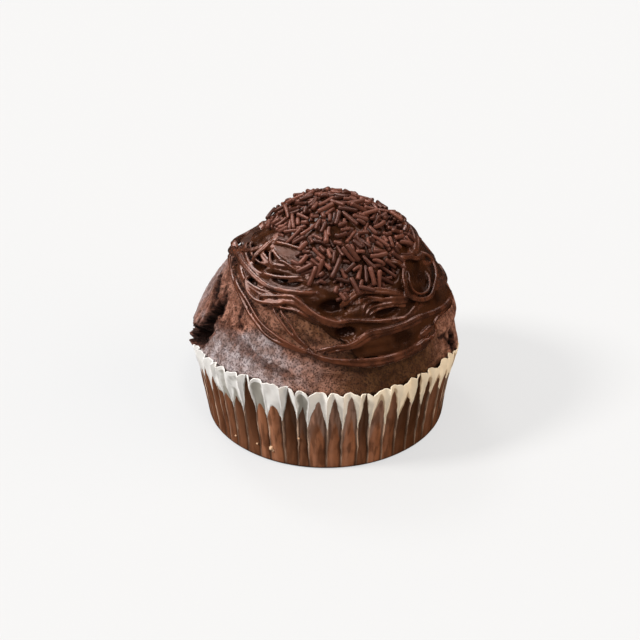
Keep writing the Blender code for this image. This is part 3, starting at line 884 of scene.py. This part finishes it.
def film_rings():
    turns = [360 * index / FILM_COLUMNS for index in range(FILM_COLUMNS)]
    feet = []
    for turn in turns:
        way = Vector((math.sin(math.radians(turn)), math.cos(math.radians(turn)), 0.3))
        feet.append(along(FILM_REACH, turn) + 0.5 * MM * noise.noise(way * 6))
    rises = [math.sin(math.pi / 2 * index / FILM_ROWS) for index in range(FILM_ROWS)]
    inner = []
    for rise in rises[::4]:
        heights = [foot + (CAKE_TOP - foot) * rise for foot in feet]
        inner.append([dome_point(t, h, -FILM_SUNK - hollow(t, h)) for t, h in zip(turns, heights)])
    rings = [[dome_point(0, CAKE_TOP - 0.01 * MM, 0) - Vector((0, 0, FILM_SUNK))], *reversed(inner)]
    for rise in rises:
        ring = []
        for turn, foot in zip(turns, feet):
            height = foot + (CAKE_TOP - foot) * rise
            bead = ease(rise / 0.05)
            thick = blend(0.35 * MM, film_thickness(turn, height, rise), bead)
            ring.append(dome_point(turn, height, GAP + thick - hollow(turn, height)))
        rings.append(ring)
    rings.append([Vector((LEAN_TOP, 0, CAKE_TOP + GAP + FILM_CROWN))])
    return rings


def strand_middle(turn, height, proud):
    """Where a strand's middle lies: it bridges the hollows in front and follows those behind."""
    follows = ease((abs(from_turn(0, turn)) - 100) / 12)
    return dome_point(turn, height, GAP + proud - follows * hollow(turn, height))


def tube_rings(path, radius, proud, flat, shift=0.0):
    """A poured strand over the dome: rings of a flattened tube that rounds off at both ends.

    The shift moves its middle sideways, by less towards its ends.
    """
    centres = []
    normals = []
    last = len(path) - 1
    for index, (turn, height) in enumerate(path):
        height = min(height, CAKE_TOP - 1.2 * MM)
        dive = STRAND_DIVE * (1 - ease(min(index, last - index) / DIVE_OVER))
        centres.append(strand_middle(turn, height, proud - dive))
        normals.append(dome_normal(turn, height))
    rings = [[centres[0]]]
    for index in range(1, last):
        ahead = (centres[index + 1] - centres[index - 1]).normalized()
        across = ahead.cross(normals[index]).normalized()
        upward = across.cross(ahead)
        end = min(index, last - index) / ROUND_OVER
        round_off = math.sqrt(max(1 - (1 - min(end, 1)) ** 2, 0))
        thick = radius * round_off * (1 + 0.22 * noise.noise(centres[index] / (5 * MM)))
        middle = centres[index] + across * shift * math.sin(math.pi * index / last) ** 0.5
        rings.append(round_ring(middle, across, upward, thick, STRAND_SIDES, flat))
    rings.append([centres[-1]])
    return rings


def path_steps(points):
    spread = sum(abs(from_turn(a[0], b[0])) + 3 * abs(a[1] - b[1]) for a, b in zip(points, points[1:]))
    return max(5, round(spread / 1.6 / (len(points) - 1)))


def back_strands():
    """Swags round the back, which the photograph doesn't show, drawn by one rule."""
    draw = random.Random(BACK_SEED)
    for index in range(BACK_STRANDS):
        middle = BACK_FROM + (BACK_TO - BACK_FROM) * (index + 0.5) / BACK_STRANDS
        half = draw.uniform(*BACK_SPAN) / 2
        start, end = draw.uniform(*BACK_HEIGHTS) / MM, draw.uniform(*BACK_HEIGHTS) / MM
        low = min(start, end) - draw.uniform(*BACK_SAG) / MM
        skew = draw.uniform(-8, 8)
        points = (
            (middle - half, start),
            (middle - half / 2 + skew, (start + low) / 2 - 1),
            (middle + skew, low),
            (middle + half, end),
        )
        yield f"back_swag_{index}", 0.7 + 0.2 * (index % 3 - 1), 0.8, points


def fine_strands():
    """Thin strands that lie across the film at the left, drawn by one rule."""
    draw = random.Random(BACK_SEED + 1)
    for index in range(FINE_STRANDS):
        start = draw.uniform(*FINE_FROM)
        end = start + draw.uniform(*FINE_SPAN)
        high = blend(*FINE_HEIGHTS, (index + 0.5) / FINE_STRANDS)
        low = high - draw.uniform(*FINE_SAG)
        points = (
            (start, high + draw.uniform(-0.3, 0.9)),
            (blend(start, end, 0.3), blend(high, low, 0.7)),
            (blend(start, end, 0.65), low),
            (end, low + draw.uniform(-0.5, 1.2)),
        )
        yield f"fine_{index}", draw.uniform(0.32, 0.46), 1.0, points


def every_strand():
    for name, (half_width, proud, points) in STRANDS.items():
        yield name, half_width, proud, points
    yield from fine_strands()
    yield from back_strands()


def strand_path(route, finer=1):
    return [(turn, height * MM) for turn, height in smooth_path(route, finer * path_steps(route))]


def strand_spine():
    """A search tree over the middles of every strand, and the half width at each."""
    places, widths = [], []
    for _, half_width, proud, route in every_strand():
        path = strand_path(route, SPINE_FINER)
        places += [strand_middle(turn, height, proud * MM) for turn, height in path]
        widths += [half_width * MM] * len(path)
    return search_tree(places), widths


def on_strand(point, spine):
    """1 on a strand, 0 on the film between them."""
    tree, widths = spine
    _, index, away = tree.find(point)
    return ease((1.5 - away / widths[index]) / 0.45)


def make_icing(spine):
    """The poured film and its strands, melted into one skin."""
    points, faces = ring_faces(film_rings())
    for _, half_width, proud, route in every_strand():
        path = strand_path(route)
        width = half_width * MM
        if half_width < RIBBON_FROM:
            parts = [tube_rings(path, width, proud * MM, 0.85)]
        else:
            parts = [tube_rings(path, width, proud * MM - 0.1 * width, 0.6)]
            for side in RIB_SIDES:
                parts.append(tube_rings(path, width * RIB_WIDTH, proud * MM + 0.3 * width, 0.9, side * width))
        for rings in parts:
            add_rings(points, faces, rings)
    icing = mesh_object("poured_icing", points, faces)
    melt = icing.modifiers.new("melt", "REMESH")
    melt.mode = "VOXEL"
    melt.voxel_size = VOXEL
    melt.use_smooth_shade = True
    soften = icing.modifiers.new("soften", "SMOOTH")
    soften.factor = 0.5
    soften.iterations = 3
    apply_modifiers(icing)
    paint(icing, "on_strand", [on_strand(vert.co, spine) for vert in icing.data.vertices])
    paint(icing, "sunk", [sunk(vert.co) for vert in icing.data.vertices])
    return icing


def on_dome(point):
    """The turn and height of the dome under a point that lies close over it."""
    return front_turn(point - Vector((dome_lean(point.z), 0, 0))), point.z - 0.5 * MM


def sunk(point):
    """How far a point of the icing lies down in a hollow, 0 to 1: its material paints shade there."""
    return min(max(hollow(*on_dome(point)) / (1.2 * MM), 0.0), 1.0)


# ---------------------------------------------------------------- vermicelli


def closest_gap(rod_a, rod_b):
    """The smallest distance between two rods' middles, tried at five places along each."""
    best = 1.0
    for share_a in (0.06, 0.28, 0.5, 0.72, 0.94):
        place = rod_a[0].lerp(rod_a[1], share_a)
        along_b = rod_b[1] - rod_b[0]
        share_b = min(max((place - rod_b[0]).dot(along_b) / along_b.length_squared, 0), 1)
        best = min(best, (place - rod_b[0].lerp(rod_b[1], share_b)).length)
    return best


def rod_rings(start, end, radius, draw):
    """A short rod with domed ends, a slight bend and an uneven girth."""
    axis = (end - start).normalized()
    across = axis.orthogonal().normalized()
    upward = axis.cross(across)
    length = (end - start).length
    bend = across * draw.uniform(-0.16, 0.16) * MM + upward * draw.uniform(-0.16, 0.16) * MM
    girth = draw.uniform(0, 6)
    rings = [[start.copy()]]
    stations = (0.25, 0.62, 0.9)
    spots = [(radius * 0.55 * s, math.sqrt(1 - (1 - s) ** 2)) for s in stations]
    middle = [(length * share, 1.0) for share in (0.3, 0.5, 0.7)]
    for distance, share in [*spots, *middle, *[(length - d, s) for d, s in reversed(spots)]]:
        place = start + axis * distance + bend * 4 * (distance / length) * (1 - distance / length)
        thick = radius * share * (1 + 0.06 * math.sin(girth + distance / (0.9 * MM)))
        rings.append(round_ring(place, across, upward, thick, VERMICELLI_SIDES))
    rings.append([end.copy()])
    return rings


def crown_heights(count):
    """Heights down the crown that give each ring of it its share of the points, by area."""
    foot = min(height for _, height in VERMICELLI_EDGE)
    steps = 200
    heights = [CAKE_TOP - (CAKE_TOP - foot) * (index / steps) ** 2 for index in range(steps + 1)]
    areas = [0.0]
    for high, low in zip(heights, heights[1:]):
        slant = math.hypot(high - low, dome_radius(low) - dome_radius(high))
        areas.append(areas[-1] + slant * (dome_radius(low) + dome_radius(high)))
    found = []
    place = 0
    for index in range(count):
        wanted = areas[-1] * (index + 0.5) / count
        while areas[place + 1] < wanted:
            place += 1
        share = (wanted - areas[place]) / (areas[place + 1] - areas[place])
        found.append(blend(heights[place], heights[place + 1], share))
    return found


def strew_rod(turn, height, laid, draw):
    """The ends and radius of a rod strewn at a place, or None where the rods laid leave no room.

    It lies flat on the icing if it can, and else higher up on others.
    """
    radius = draw.uniform(*VERMICELLI_RADIUS)
    length = draw.uniform(*VERMICELLI_LENGTH)
    normal = dome_normal(turn, height)
    lie = normal.to_track_quat("Z", "Y").to_matrix()
    for attempt in range(2 * LAYER_TRIES):
        upper = attempt >= LAYER_TRIES
        lift = GAP + FILM_CROWN + radius * 0.4 + (1.5 * radius if upper else 0)
        spin = draw.uniform(0, 2 * math.pi)
        tip = draw.uniform(-0.12, 0.12) + (draw.uniform(-0.26, 0.26) if upper else 0)
        direction = lie @ Vector((math.cos(spin), math.sin(spin), tip)).normalized()
        middle = dome_point(turn, height, lift - hollow(turn, height))
        sag = (length / 2) ** 2 / 2 / CROWN_BEND
        middle -= normal * sag * 0.5
        ends = [middle + direction * (length * side) for side in (-0.5, 0.5)]
        rod = (*[end - normal * (hollow(*on_dome(end)) - hollow(turn, height)) for end in ends], radius)
        room = VERMICELLI_ROOM[1 if upper else 0]
        near = [other for other in laid if (other[0] - rod[0]).length < 12 * MM]
        if all(closest_gap(rod, other) > (radius + other[2]) * room for other in near):
            return rod
    return None


def make_vermicelli(ceiling):
    """Short rods strewn over the crown: they lie flat where there is room and else on each other."""
    draw = random.Random(VERMICELLI_SEED)
    laid = []
    points, faces, tones = [], [], []
    heights = crown_heights(VERMICELLI_TRIES)
    order = list(range(VERMICELLI_TRIES))
    draw.shuffle(order)
    for index in order:
        turn = GOLDEN_TURN * index + draw.uniform(-4, 4)
        height = heights[index]
        if height < along(VERMICELLI_EDGE, turn) + draw.uniform(-0.4, 1.2) * MM:
            continue
        rod = strew_rod(turn, height, laid, draw)
        if rod is None:
            continue
        start, end, radius = rod
        highest = max(start.z, end.z) + radius
        if highest > ceiling:
            drop = Vector((0, 0, highest - ceiling))
            start, end = start - drop, end - drop
        laid.append((start, end, radius))
        count = add_rings(points, faces, rod_rings(start, end, radius, draw))
        tones += [draw.random()] * count
    vermicelli = mesh_object("vermicelli", points, faces)
    paint(vermicelli, "tone", tones)
    return vermicelli


# ---------------------------------------------------------------- materials


def feed(tree, socket, value):
    """Links an output to a socket, or sets the socket to a plain value."""
    if isinstance(value, bpy.types.NodeSocket):
        tree.links.new(value, socket)
    elif isinstance(value, tuple) and len(value) == 3 and socket.type == "RGBA":
        socket.default_value = (*value, 1)
    else:
        socket.default_value = value


def dress(tree, node, inputs):
    """Feeds a node's sockets, each by its name or number."""
    for name, value in inputs.items():
        feed(tree, node.inputs[name], value)


def add_node(tree, kind, inputs=None, **settings):
    made = tree.nodes.new(kind)
    for name, value in settings.items():
        setattr(made, name, value)
    dress(tree, made, inputs or {})
    return made


def mix_color(tree, factor, first, second):
    return add_node(tree, "ShaderNodeMix", {0: factor, 6: first, 7: second}, data_type="RGBA").outputs[2]


def mix_value(tree, factor, first, second):
    return add_node(tree, "ShaderNodeMix", {0: factor, 2: first, 3: second}).outputs[0]


def math_node(tree, operation, *values):
    return add_node(tree, "ShaderNodeMath", dict(enumerate(values)), operation=operation).outputs[0]


def times(tree, first, second):
    return math_node(tree, "MULTIPLY", first, second)


def plus(tree, first, second):
    return math_node(tree, "ADD", first, second)


def ramp(tree, value, low, high, to_low=0.0, to_high=1.0):
    """A smooth step of a value between two limits."""
    names = ("Value", "From Min", "From Max", "To Min", "To Max")
    inputs = dict(zip(names, (value, low, high, to_low, to_high)))
    return add_node(tree, "ShaderNodeMapRange", inputs, interpolation_type="SMOOTHSTEP").outputs["Result"]


def stored(tree, name):
    """A number that paint stored at each point."""
    return add_node(tree, "ShaderNodeAttribute", attribute_name=name).outputs["Fac"]


def object_place(tree):
    return add_node(tree, "ShaderNodeTexCoord").outputs["Object"]


def sideways(tree, place):
    """How far to the right a place lies."""
    return add_node(tree, "ShaderNodeSeparateXYZ", {"Vector": place}).outputs["X"]


def nearness(tree, way, spot):
    """How nearly a way points to a spot, 1 being straight at it."""
    made = add_node(tree, "ShaderNodeVectorMath", {0: way, 1: spot}, operation="DOT_PRODUCT")
    return made.outputs["Value"]


def cloud_noise(tree, place, size, detail, sharpness=0.5):
    inputs = {"Vector": place, "Scale": size, "Detail": detail, "Roughness": sharpness}
    return add_node(tree, "ShaderNodeTexNoise", inputs).outputs["Fac"]


def bump(tree, height, strength, distance, under=None):
    made = add_node(tree, "ShaderNodeBump", {"Height": height, "Strength": strength, "Distance": distance})
    if under:
        tree.links.new(under, made.inputs["Normal"])
    return made.outputs["Normal"]


def new_group(name, inputs, outputs):
    """An empty node group with named sockets: (name, kind, default) in, (name, kind) out."""
    group = bpy.data.node_groups.new(name, "ShaderNodeTree")
    for label, kind, default in inputs:
        socket = group.interface.new_socket(label, in_out="INPUT", socket_type=f"NodeSocket{kind}")
        socket.default_value = default
    for label, kind in outputs:
        group.interface.new_socket(label, in_out="OUTPUT", socket_type=f"NodeSocket{kind}")
    given = group.nodes.new("NodeGroupInput").outputs
    end = group.nodes.new("NodeGroupOutput")
    return group, given, end


def make_grain_group():
    """Fine grain, as a height and as a mask of its dark specks."""
    inputs = [("Size", "Float", 1000.0), ("Sharpness", "Float", 0.5), ("Speck Share", "Float", 0.5)]
    group, given, end = new_group("fine_grain", inputs, [("Height", "Float"), ("Specks", "Float")])
    place, size, share = object_place(group), given["Size"], given["Speck Share"]
    coarse = cloud_noise(group, place, size, 5.0, given["Sharpness"])
    pores = add_node(group, "ShaderNodeTexVoronoi", {"Vector": place, "Scale": times(group, size, 1.6)})
    bent = plus(group, times(group, pores.outputs["Distance"], 0.55), coarse)
    low, high = plus(group, share, -SPECK_EDGE), plus(group, share, SPECK_EDGE)
    specks = ramp(group, bent, low, high, 1.0, 0.0)
    height = plus(group, coarse, times(group, specks, -0.5))
    dress(group, end, {"Height": height, "Specks": specks})
    return group


def make_patches_group():
    """Two tones in soft patches."""
    inputs = [
        ("Light", "Color", (0.5, 0.5, 0.5, 1)),
        ("Dark", "Color", (0.1, 0.1, 0.1, 1)),
        ("Size", "Float", 120.0),
        ("Balance", "Float", 0.5),
    ]
    group, given, end = new_group("tone_patches", inputs, [("Color", "Color")])
    cloud = cloud_noise(group, object_place(group), given["Size"], 3.0)
    low, high = plus(group, given["Balance"], -PATCH_EDGE), plus(group, given["Balance"], PATCH_EDGE)
    mask = ramp(group, cloud, low, high)
    dress(group, end, {"Color": mix_color(group, mask, given["Dark"], given["Light"])})
    return group


def place_group(tree, group, values):
    return add_node(tree, "ShaderNodeGroup", values, node_tree=group).outputs


def new_material(name):
    made = bpy.data.materials.new(name)
    made.use_nodes = True
    return made, made.node_tree, made.node_tree.nodes["Principled BSDF"]


def cake_material(grain, patches):
    """Open crumb, satin skin with painted sheen, dark where moist, smeared icing with painted shadow above
    the strands, painted shade in pits.
    """
    made, tree, shader = new_material("chocolate_cake_crumb")
    torn, skin = stored(tree, "torn"), stored(tree, "skin")
    crumb, damp, crumbs, satin_sheen = (
        place_group(tree, patches, tone)["Color"] for tone in (CRUMB_TONE, MOIST_TONE, TORN_TONE, SATIN_SHEEN_TONE)
    )
    fine = place_group(tree, grain, {"Size": 1350.0, "Sharpness": 0.9, "Speck Share": 0.675})
    color = mix_color(tree, stored(tree, "moist"), crumb, damp)
    color = mix_color(tree, ramp(tree, torn, 0.25, 0.95, 0.1, 0.85), color, crumbs)
    closed = times(tree, skin, ramp(tree, torn, 0.4, 0.9, 0.9, 0.1))
    # painted sheen: the closed skin is coloured pale greyish mauve
    color = mix_color(tree, closed, color, satin_sheen)
    speckled = times(tree, fine["Specks"], ramp(tree, skin, 0.0, 1.0, 0.72, 0.55))
    color = mix_color(tree, speckled, color, CRUMB_SPECK)
    # painted shade in pores, cracks and craters
    color = mix_color(tree, times(tree, stored(tree, "pit_shade"), 0.97), color, PIT_SHADE_COLOR)
    # smeared icing and painted shadow just above the strands
    color = mix_color(tree, times(tree, stored(tree, "smear_shade_mask"), 0.85), color, SMEAR_SHADE_COLOR)
    height = times(tree, fine["Height"], ramp(tree, torn, 0.0, 1.0, 0.8, 1.6))
    dress(tree, shader, {
        "Base Color": color,
        "Roughness": ramp(tree, skin, 0.0, 1.0, 0.75, 0.48),
        "Specular IOR Level": 0.25,
        "Normal": bump(tree, height, 1.0, 0.5 * MM),
    })
    return made


def icing_material(grain, patches):
    """A dark film under lighter strands, which have a wet coat, with painted shade down in the hollows."""
    made, tree, shader = new_material("chocolate_icing_gloss")
    strand = stored(tree, "on_strand")
    film, ribbon = (place_group(tree, patches, tone)["Color"] for tone in (FILM_TONE, RIBBON_TONE))
    # painted shade: the film darkens down in the hollows
    color = mix_color(tree, times(tree, stored(tree, "sunk"), 0.8), film, SUNK_FILM_SHADE)
    cloud = cloud_noise(tree, object_place(tree), 420.0, 2.0)
    fine = place_group(tree, grain, {"Size": 900.0, "Sharpness": 0.4})
    waves = bump(tree, cloud, 0.7, 0.5 * MM)
    wet_patches = ramp(tree, cloud, 0.54, 0.68, 0.0, 0.3)
    dress(tree, shader, {
        "Base Color": mix_color(tree, strand, color, ribbon),
        "Roughness": ramp(tree, cloud, 0.3, 0.7, 0.16, 0.28),
        "Specular IOR Level": 0.28,
        "Coat Weight": math_node(tree, "MAXIMUM", ramp(tree, strand, 0.35, 0.9), wet_patches),
        "Coat Roughness": 0.24,
        "Normal": bump(tree, fine["Height"], 0.06, 0.1 * MM, waves),
    })
    return made


def vermicelli_material(grain):
    made, tree, shader = new_material("vermicelli_chocolate")
    fine = place_group(tree, grain, {"Size": 1900.0, "Speck Share": 0.6})
    color = mix_color(tree, stored(tree, "tone"), *ROD_COLORS)
    dress(tree, shader, {
        "Base Color": mix_color(tree, times(tree, fine["Specks"], 0.3), color, ROD_SPECK),
        "Roughness": 0.33,
        "Specular IOR Level": 0.5,
        "Normal": bump(tree, fine["Height"], 0.3, 0.1 * MM),
    })
    return made


def soaked_paper(tree, soaked, place, over, side, crease):
    """The colour of the brown paper: dark panels with painted fold shade, dry arches under the rim, painted
    light and crease shade on each panel, painted shade at both sides, and pale ridges with painted highlight.
    """
    tone, level = stored(tree, "panel_shade_and_tone"), stored(tree, "level")
    stretched = add_node(tree, "ShaderNodeVectorMath", {0: place, 1: STREAK_SHAPE}, operation="MULTIPLY")
    streak = cloud_noise(tree, stretched.outputs[0], 800.0, 3.0)
    # dark panels: partly tone, partly painted shade of deep folds
    darker = times(tree, ramp(tree, tone, 0.4, 1.0, 0.0, 0.94), ramp(tree, level, 0.1, 0.6, 0.6, 1.0))
    brown = mix_color(tree, darker, soaked, DARK_PANEL_AND_FOLD_SHADE)
    in_front = ramp(tree, side, -13 * MM, -6 * MM)
    in_front = times(tree, in_front, ramp(tree, side, 10 * MM, 20 * MM, 1.0, 0.15))
    dry = times(tree, ramp(tree, over, -8.5, -5.5), in_front)
    arch = mix_color(tree, ramp(tree, tone, 0.3, 1.0), *DRY_ARCHES)
    brown = mix_color(tree, times(tree, dry, 0.85), brown, arch)
    lit = times(tree, stored(tree, "lit_side"), ramp(tree, tone, 0.4, 0.9, 0.5, 0.1))
    brown = mix_color(tree, lit, brown, LIT_PANEL)
    brown = mix_color(tree, ramp(tree, streak, 0.46, 0.64, 0.0, 0.6), brown, STREAK_COLOR)
    # painted shade in the creases
    brown = mix_color(tree, ramp(tree, crease, 0.1, 0.9, 0.0, 0.82), brown, CREASE_SHADE_COLOR)
    brown = mix_color(tree, ramp(tree, side, -28 * MM, -12 * MM, 0.55, 0.0), brown, LEFT_SHADE)
    brown = mix_color(tree, ramp(tree, side, 8 * MM, 24 * MM, 0.0, 0.55), brown, RIGHT_SHADE)
    # ridges: unstained paper with painted highlight
    ridge_pale_and_lit = times(tree, stored(tree, "ridge"), ramp(tree, streak, 0.36, 0.56, 0.95, 0.3))
    ridge_pale_and_lit = times(tree, ridge_pale_and_lit, ramp(tree, stored(tree, "white_edge"), -13.0, -2.0, 0.22, 1.0))
    return mix_color(tree, ridge_pale_and_lit, brown, PALE_RIDGE_AND_HIGHLIGHT)


def white_paper(tree, place, side, crease):
    """The colour of the dry rim: white, greyer in soft patches between its creases."""
    cream = mix_color(tree, ramp(tree, side, -8 * MM, 22 * MM), *WHITE_PAPER)
    soft = mix_color(tree, ramp(tree, side, -6 * MM, 20 * MM), *SHADED_PAPER)
    low_down = ramp(tree, stored(tree, "white_edge"), 0.2, 3.5, 0.45, 0.0)
    shade = plus(tree, stored(tree, "shade"), low_down)
    shade = plus(tree, shade, ramp(tree, side, 6 * MM, 20 * MM, 0.0, 0.16))
    waves = plus(tree, cloud_noise(tree, place, 260.0, 2.0), 0.25)
    clear = ramp(tree, math_node(tree, "SUBTRACT", waves, shade), -0.12, 0.22)
    clear = math_node(tree, "MAXIMUM", clear, ramp(tree, crease, 0.4, 0.75))
    return mix_color(tree, clear, soft, cream)


def paper_material(grain, patches):
    """White paper at the rim and soaked brown paper below it, with a ragged edge between them."""
    made, tree, shader = new_material("case_paper_soaked")
    place, crease = object_place(tree), stored(tree, "crease")
    side = sideways(tree, place)
    fibre = cloud_noise(tree, place, 420.0, 4.0, 0.6)
    over = plus(tree, stored(tree, "white_edge"), times(tree, plus(tree, fibre, -0.5), 3.0))
    white = ramp(tree, over, -0.12, 0.3)
    soaked = place_group(tree, patches, SOAKED_TONE)["Color"]
    brown = soaked_paper(tree, soaked, place, over, side, crease)
    color = mix_color(tree, white, brown, white_paper(tree, place, side, crease))
    # painted contact shade along the foot of the case
    above_foot = ramp(tree, stored(tree, "level"), 0.0, 0.045)
    fine = place_group(tree, grain, {"Size": 800.0})
    dress(tree, shader, {
        "Base Color": mix_color(tree, above_foot, FOOT_SHADE_COLOR, color),
        "Roughness": ramp(tree, white, 0.0, 1.0, 0.4, 0.6),
        "Specular IOR Level": 0.1,
        "Normal": bump(tree, fine["Height"], 0.2, 0.12 * MM),
    })
    return made


def crumb_material(patches):
    made, tree, shader = new_material("paper_crumb")
    color = place_group(tree, patches, PAPER_CRUMB_TONE)["Color"]
    dress(tree, shader, {"Base Color": color, "Roughness": 0.7})
    return made


# ---------------------------------------------------------------- crumbs, floor, lights and camera


def make_crumbs():
    """The few pale crumbs that cling to the paper near the base."""
    points, faces = [], []
    rows, sides = 6, 10
    for index, (turn, height, radius) in enumerate(PAPER_CRUMBS):
        middle = turned(turn, wall_radius(height) + 0.05 * MM, height)
        draw = random.Random(index)
        rings = []
        for row in range(rows + 1):
            up = math.pi * row / rows
            count = 1 if row in (0, rows) else sides
            ring = []
            for side in range(count):
                angle = 2 * math.pi * side / count
                out = Vector((math.sin(up) * math.cos(angle), math.sin(up) * math.sin(angle), -math.cos(up)))
                ring.append(middle + out * radius * draw.uniform(0.75, 1.15))
            rings.append(ring)
        add_rings(points, faces, rings)
    return mesh_object("paper_crumbs", points, faces)


def add_floor():
    """A pale floor. To the camera it glows a little, as a floor lit up to white does."""
    half = FLOOR_HALF
    corners = [(-half, -half, 0), (half, -half, 0), (half, half, 0), (-half, half, 0)]
    floor = mesh_object("floor", corners, [(0, 1, 2, 3)], smooth=False)
    made, tree, shader = new_material("pale_floor")
    ray = add_node(tree, "ShaderNodeLightPath").outputs
    shine = ramp(tree, sideways(tree, object_place(tree)), -0.12, 0.06, *FLOOR_SHINE)
    glow = mix_value(tree, ray["Is Camera Ray"], shine, FLOOR_GLOW)
    dress(tree, shader, {
        "Base Color": mix_color(tree, ray["Is Glossy Ray"], *FLOOR_COLORS),
        "Roughness": 0.8,
        "Specular IOR Level": 0.0,
        "Emission Color": FLOOR_GLOW_COLOR,
        "Emission Strength": mix_value(tree, ray["Is Glossy Ray"], glow, FLOOR_IN_GLOSS),
    })
    floor.data.materials.append(made)


def add_sun(name, turn, elevation, strength, spread, color, in_gloss):
    """Soft light from one side: its turn round the muffin, its elevation and its spread in degrees."""
    data = bpy.data.lights.new(name, "SUN")
    data.energy = strength
    data.angle = math.radians(spread)
    data.color = color
    light = bpy.data.objects.new(name, data)
    side = turned(turn, math.cos(math.radians(elevation)), math.sin(math.radians(elevation)))
    light.location = side * 0.6
    light.visible_glossy = in_gloss
    light.rotation_euler = side.to_track_quat("Z", "Y").to_euler()
    bpy.context.scene.collection.objects.link(light)


def add_lights():
    """A room that is brighter behind to the left, the gleams that glossy surfaces mirror, and the lamps."""
    world = bpy.data.worlds.new("white_room")
    world.use_nodes = True
    tree = world.node_tree
    way = add_node(tree, "ShaderNodeTexCoord").outputs["Generated"]
    share = ramp(tree, nearness(tree, way, ROOM_BRIGHT_SIDE), -0.7, 1.0)
    away, towards = ROOM_STRENGTH
    strength = math_node(tree, "MULTIPLY_ADD", share, towards - away, away)
    in_gloss = DARK_IN_GLOSS
    for spot, start, full, glow in GLEAMS:
        in_gloss = plus(tree, ramp(tree, nearness(tree, way, spot), start, full, 0.0, glow), in_gloss)
    mirrored = add_node(tree, "ShaderNodeLightPath").outputs["Is Glossy Ray"]
    dress(tree, tree.nodes["Background"], {
        "Color": mix_color(tree, mirrored, mix_color(tree, share, *ROOM_COLORS), GLOSS_COLOR),
        "Strength": mix_value(tree, mirrored, strength, in_gloss),
    })
    bpy.context.scene.world = world
    for light in LIGHTS:
        add_sun(*light)


def add_camera():
    elevation = math.radians(CAMERA_ELEVATION)
    data = bpy.data.cameras.new("photo_view")
    data.sensor_width = CAMERA_SENSOR
    data.lens = CAMERA_LENS
    data.clip_start = 0.01
    camera = bpy.data.objects.new("photo_view", data)
    back = Vector((0, -math.cos(elevation), math.sin(elevation)))
    camera.location = Vector(CAMERA_TARGET) + back * CAMERA_DISTANCE
    camera.rotation_euler = (-back).to_track_quat("-Z", "Y").to_euler()
    bpy.context.scene.collection.objects.link(camera)
    bpy.context.scene.camera = camera


def finish_piece(piece, material, slot_name, *nodes):
    piece.data.materials.clear()
    piece.data.materials.append(material)
    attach(piece, "root")
    if nodes:
        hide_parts(*nodes)


def main():
    add_camera()
    add_lights()
    add_floor()
    grain = make_grain_group()
    patches = make_patches_group()
    spine = strand_spine()
    finish_piece(make_cake(spine), cake_material(grain, patches), "chocolate_cake", "cake")
    finish_piece(make_case(), paper_material(grain, patches), "case_paper", "paper_case")
    finish_piece(make_crumbs(), crumb_material(patches), "chocolate_cake")
    finish_piece(make_icing(spine), icing_material(grain, patches), "chocolate_icing", "icing")
    ceiling = cad_box[1][2] - 0.02 * MM
    finish_piece(make_vermicelli(ceiling), vermicelli_material(grain), "chocolate_icing", "icing")
    bpy.context.scene.view_settings.view_transform = "Standard"


main()
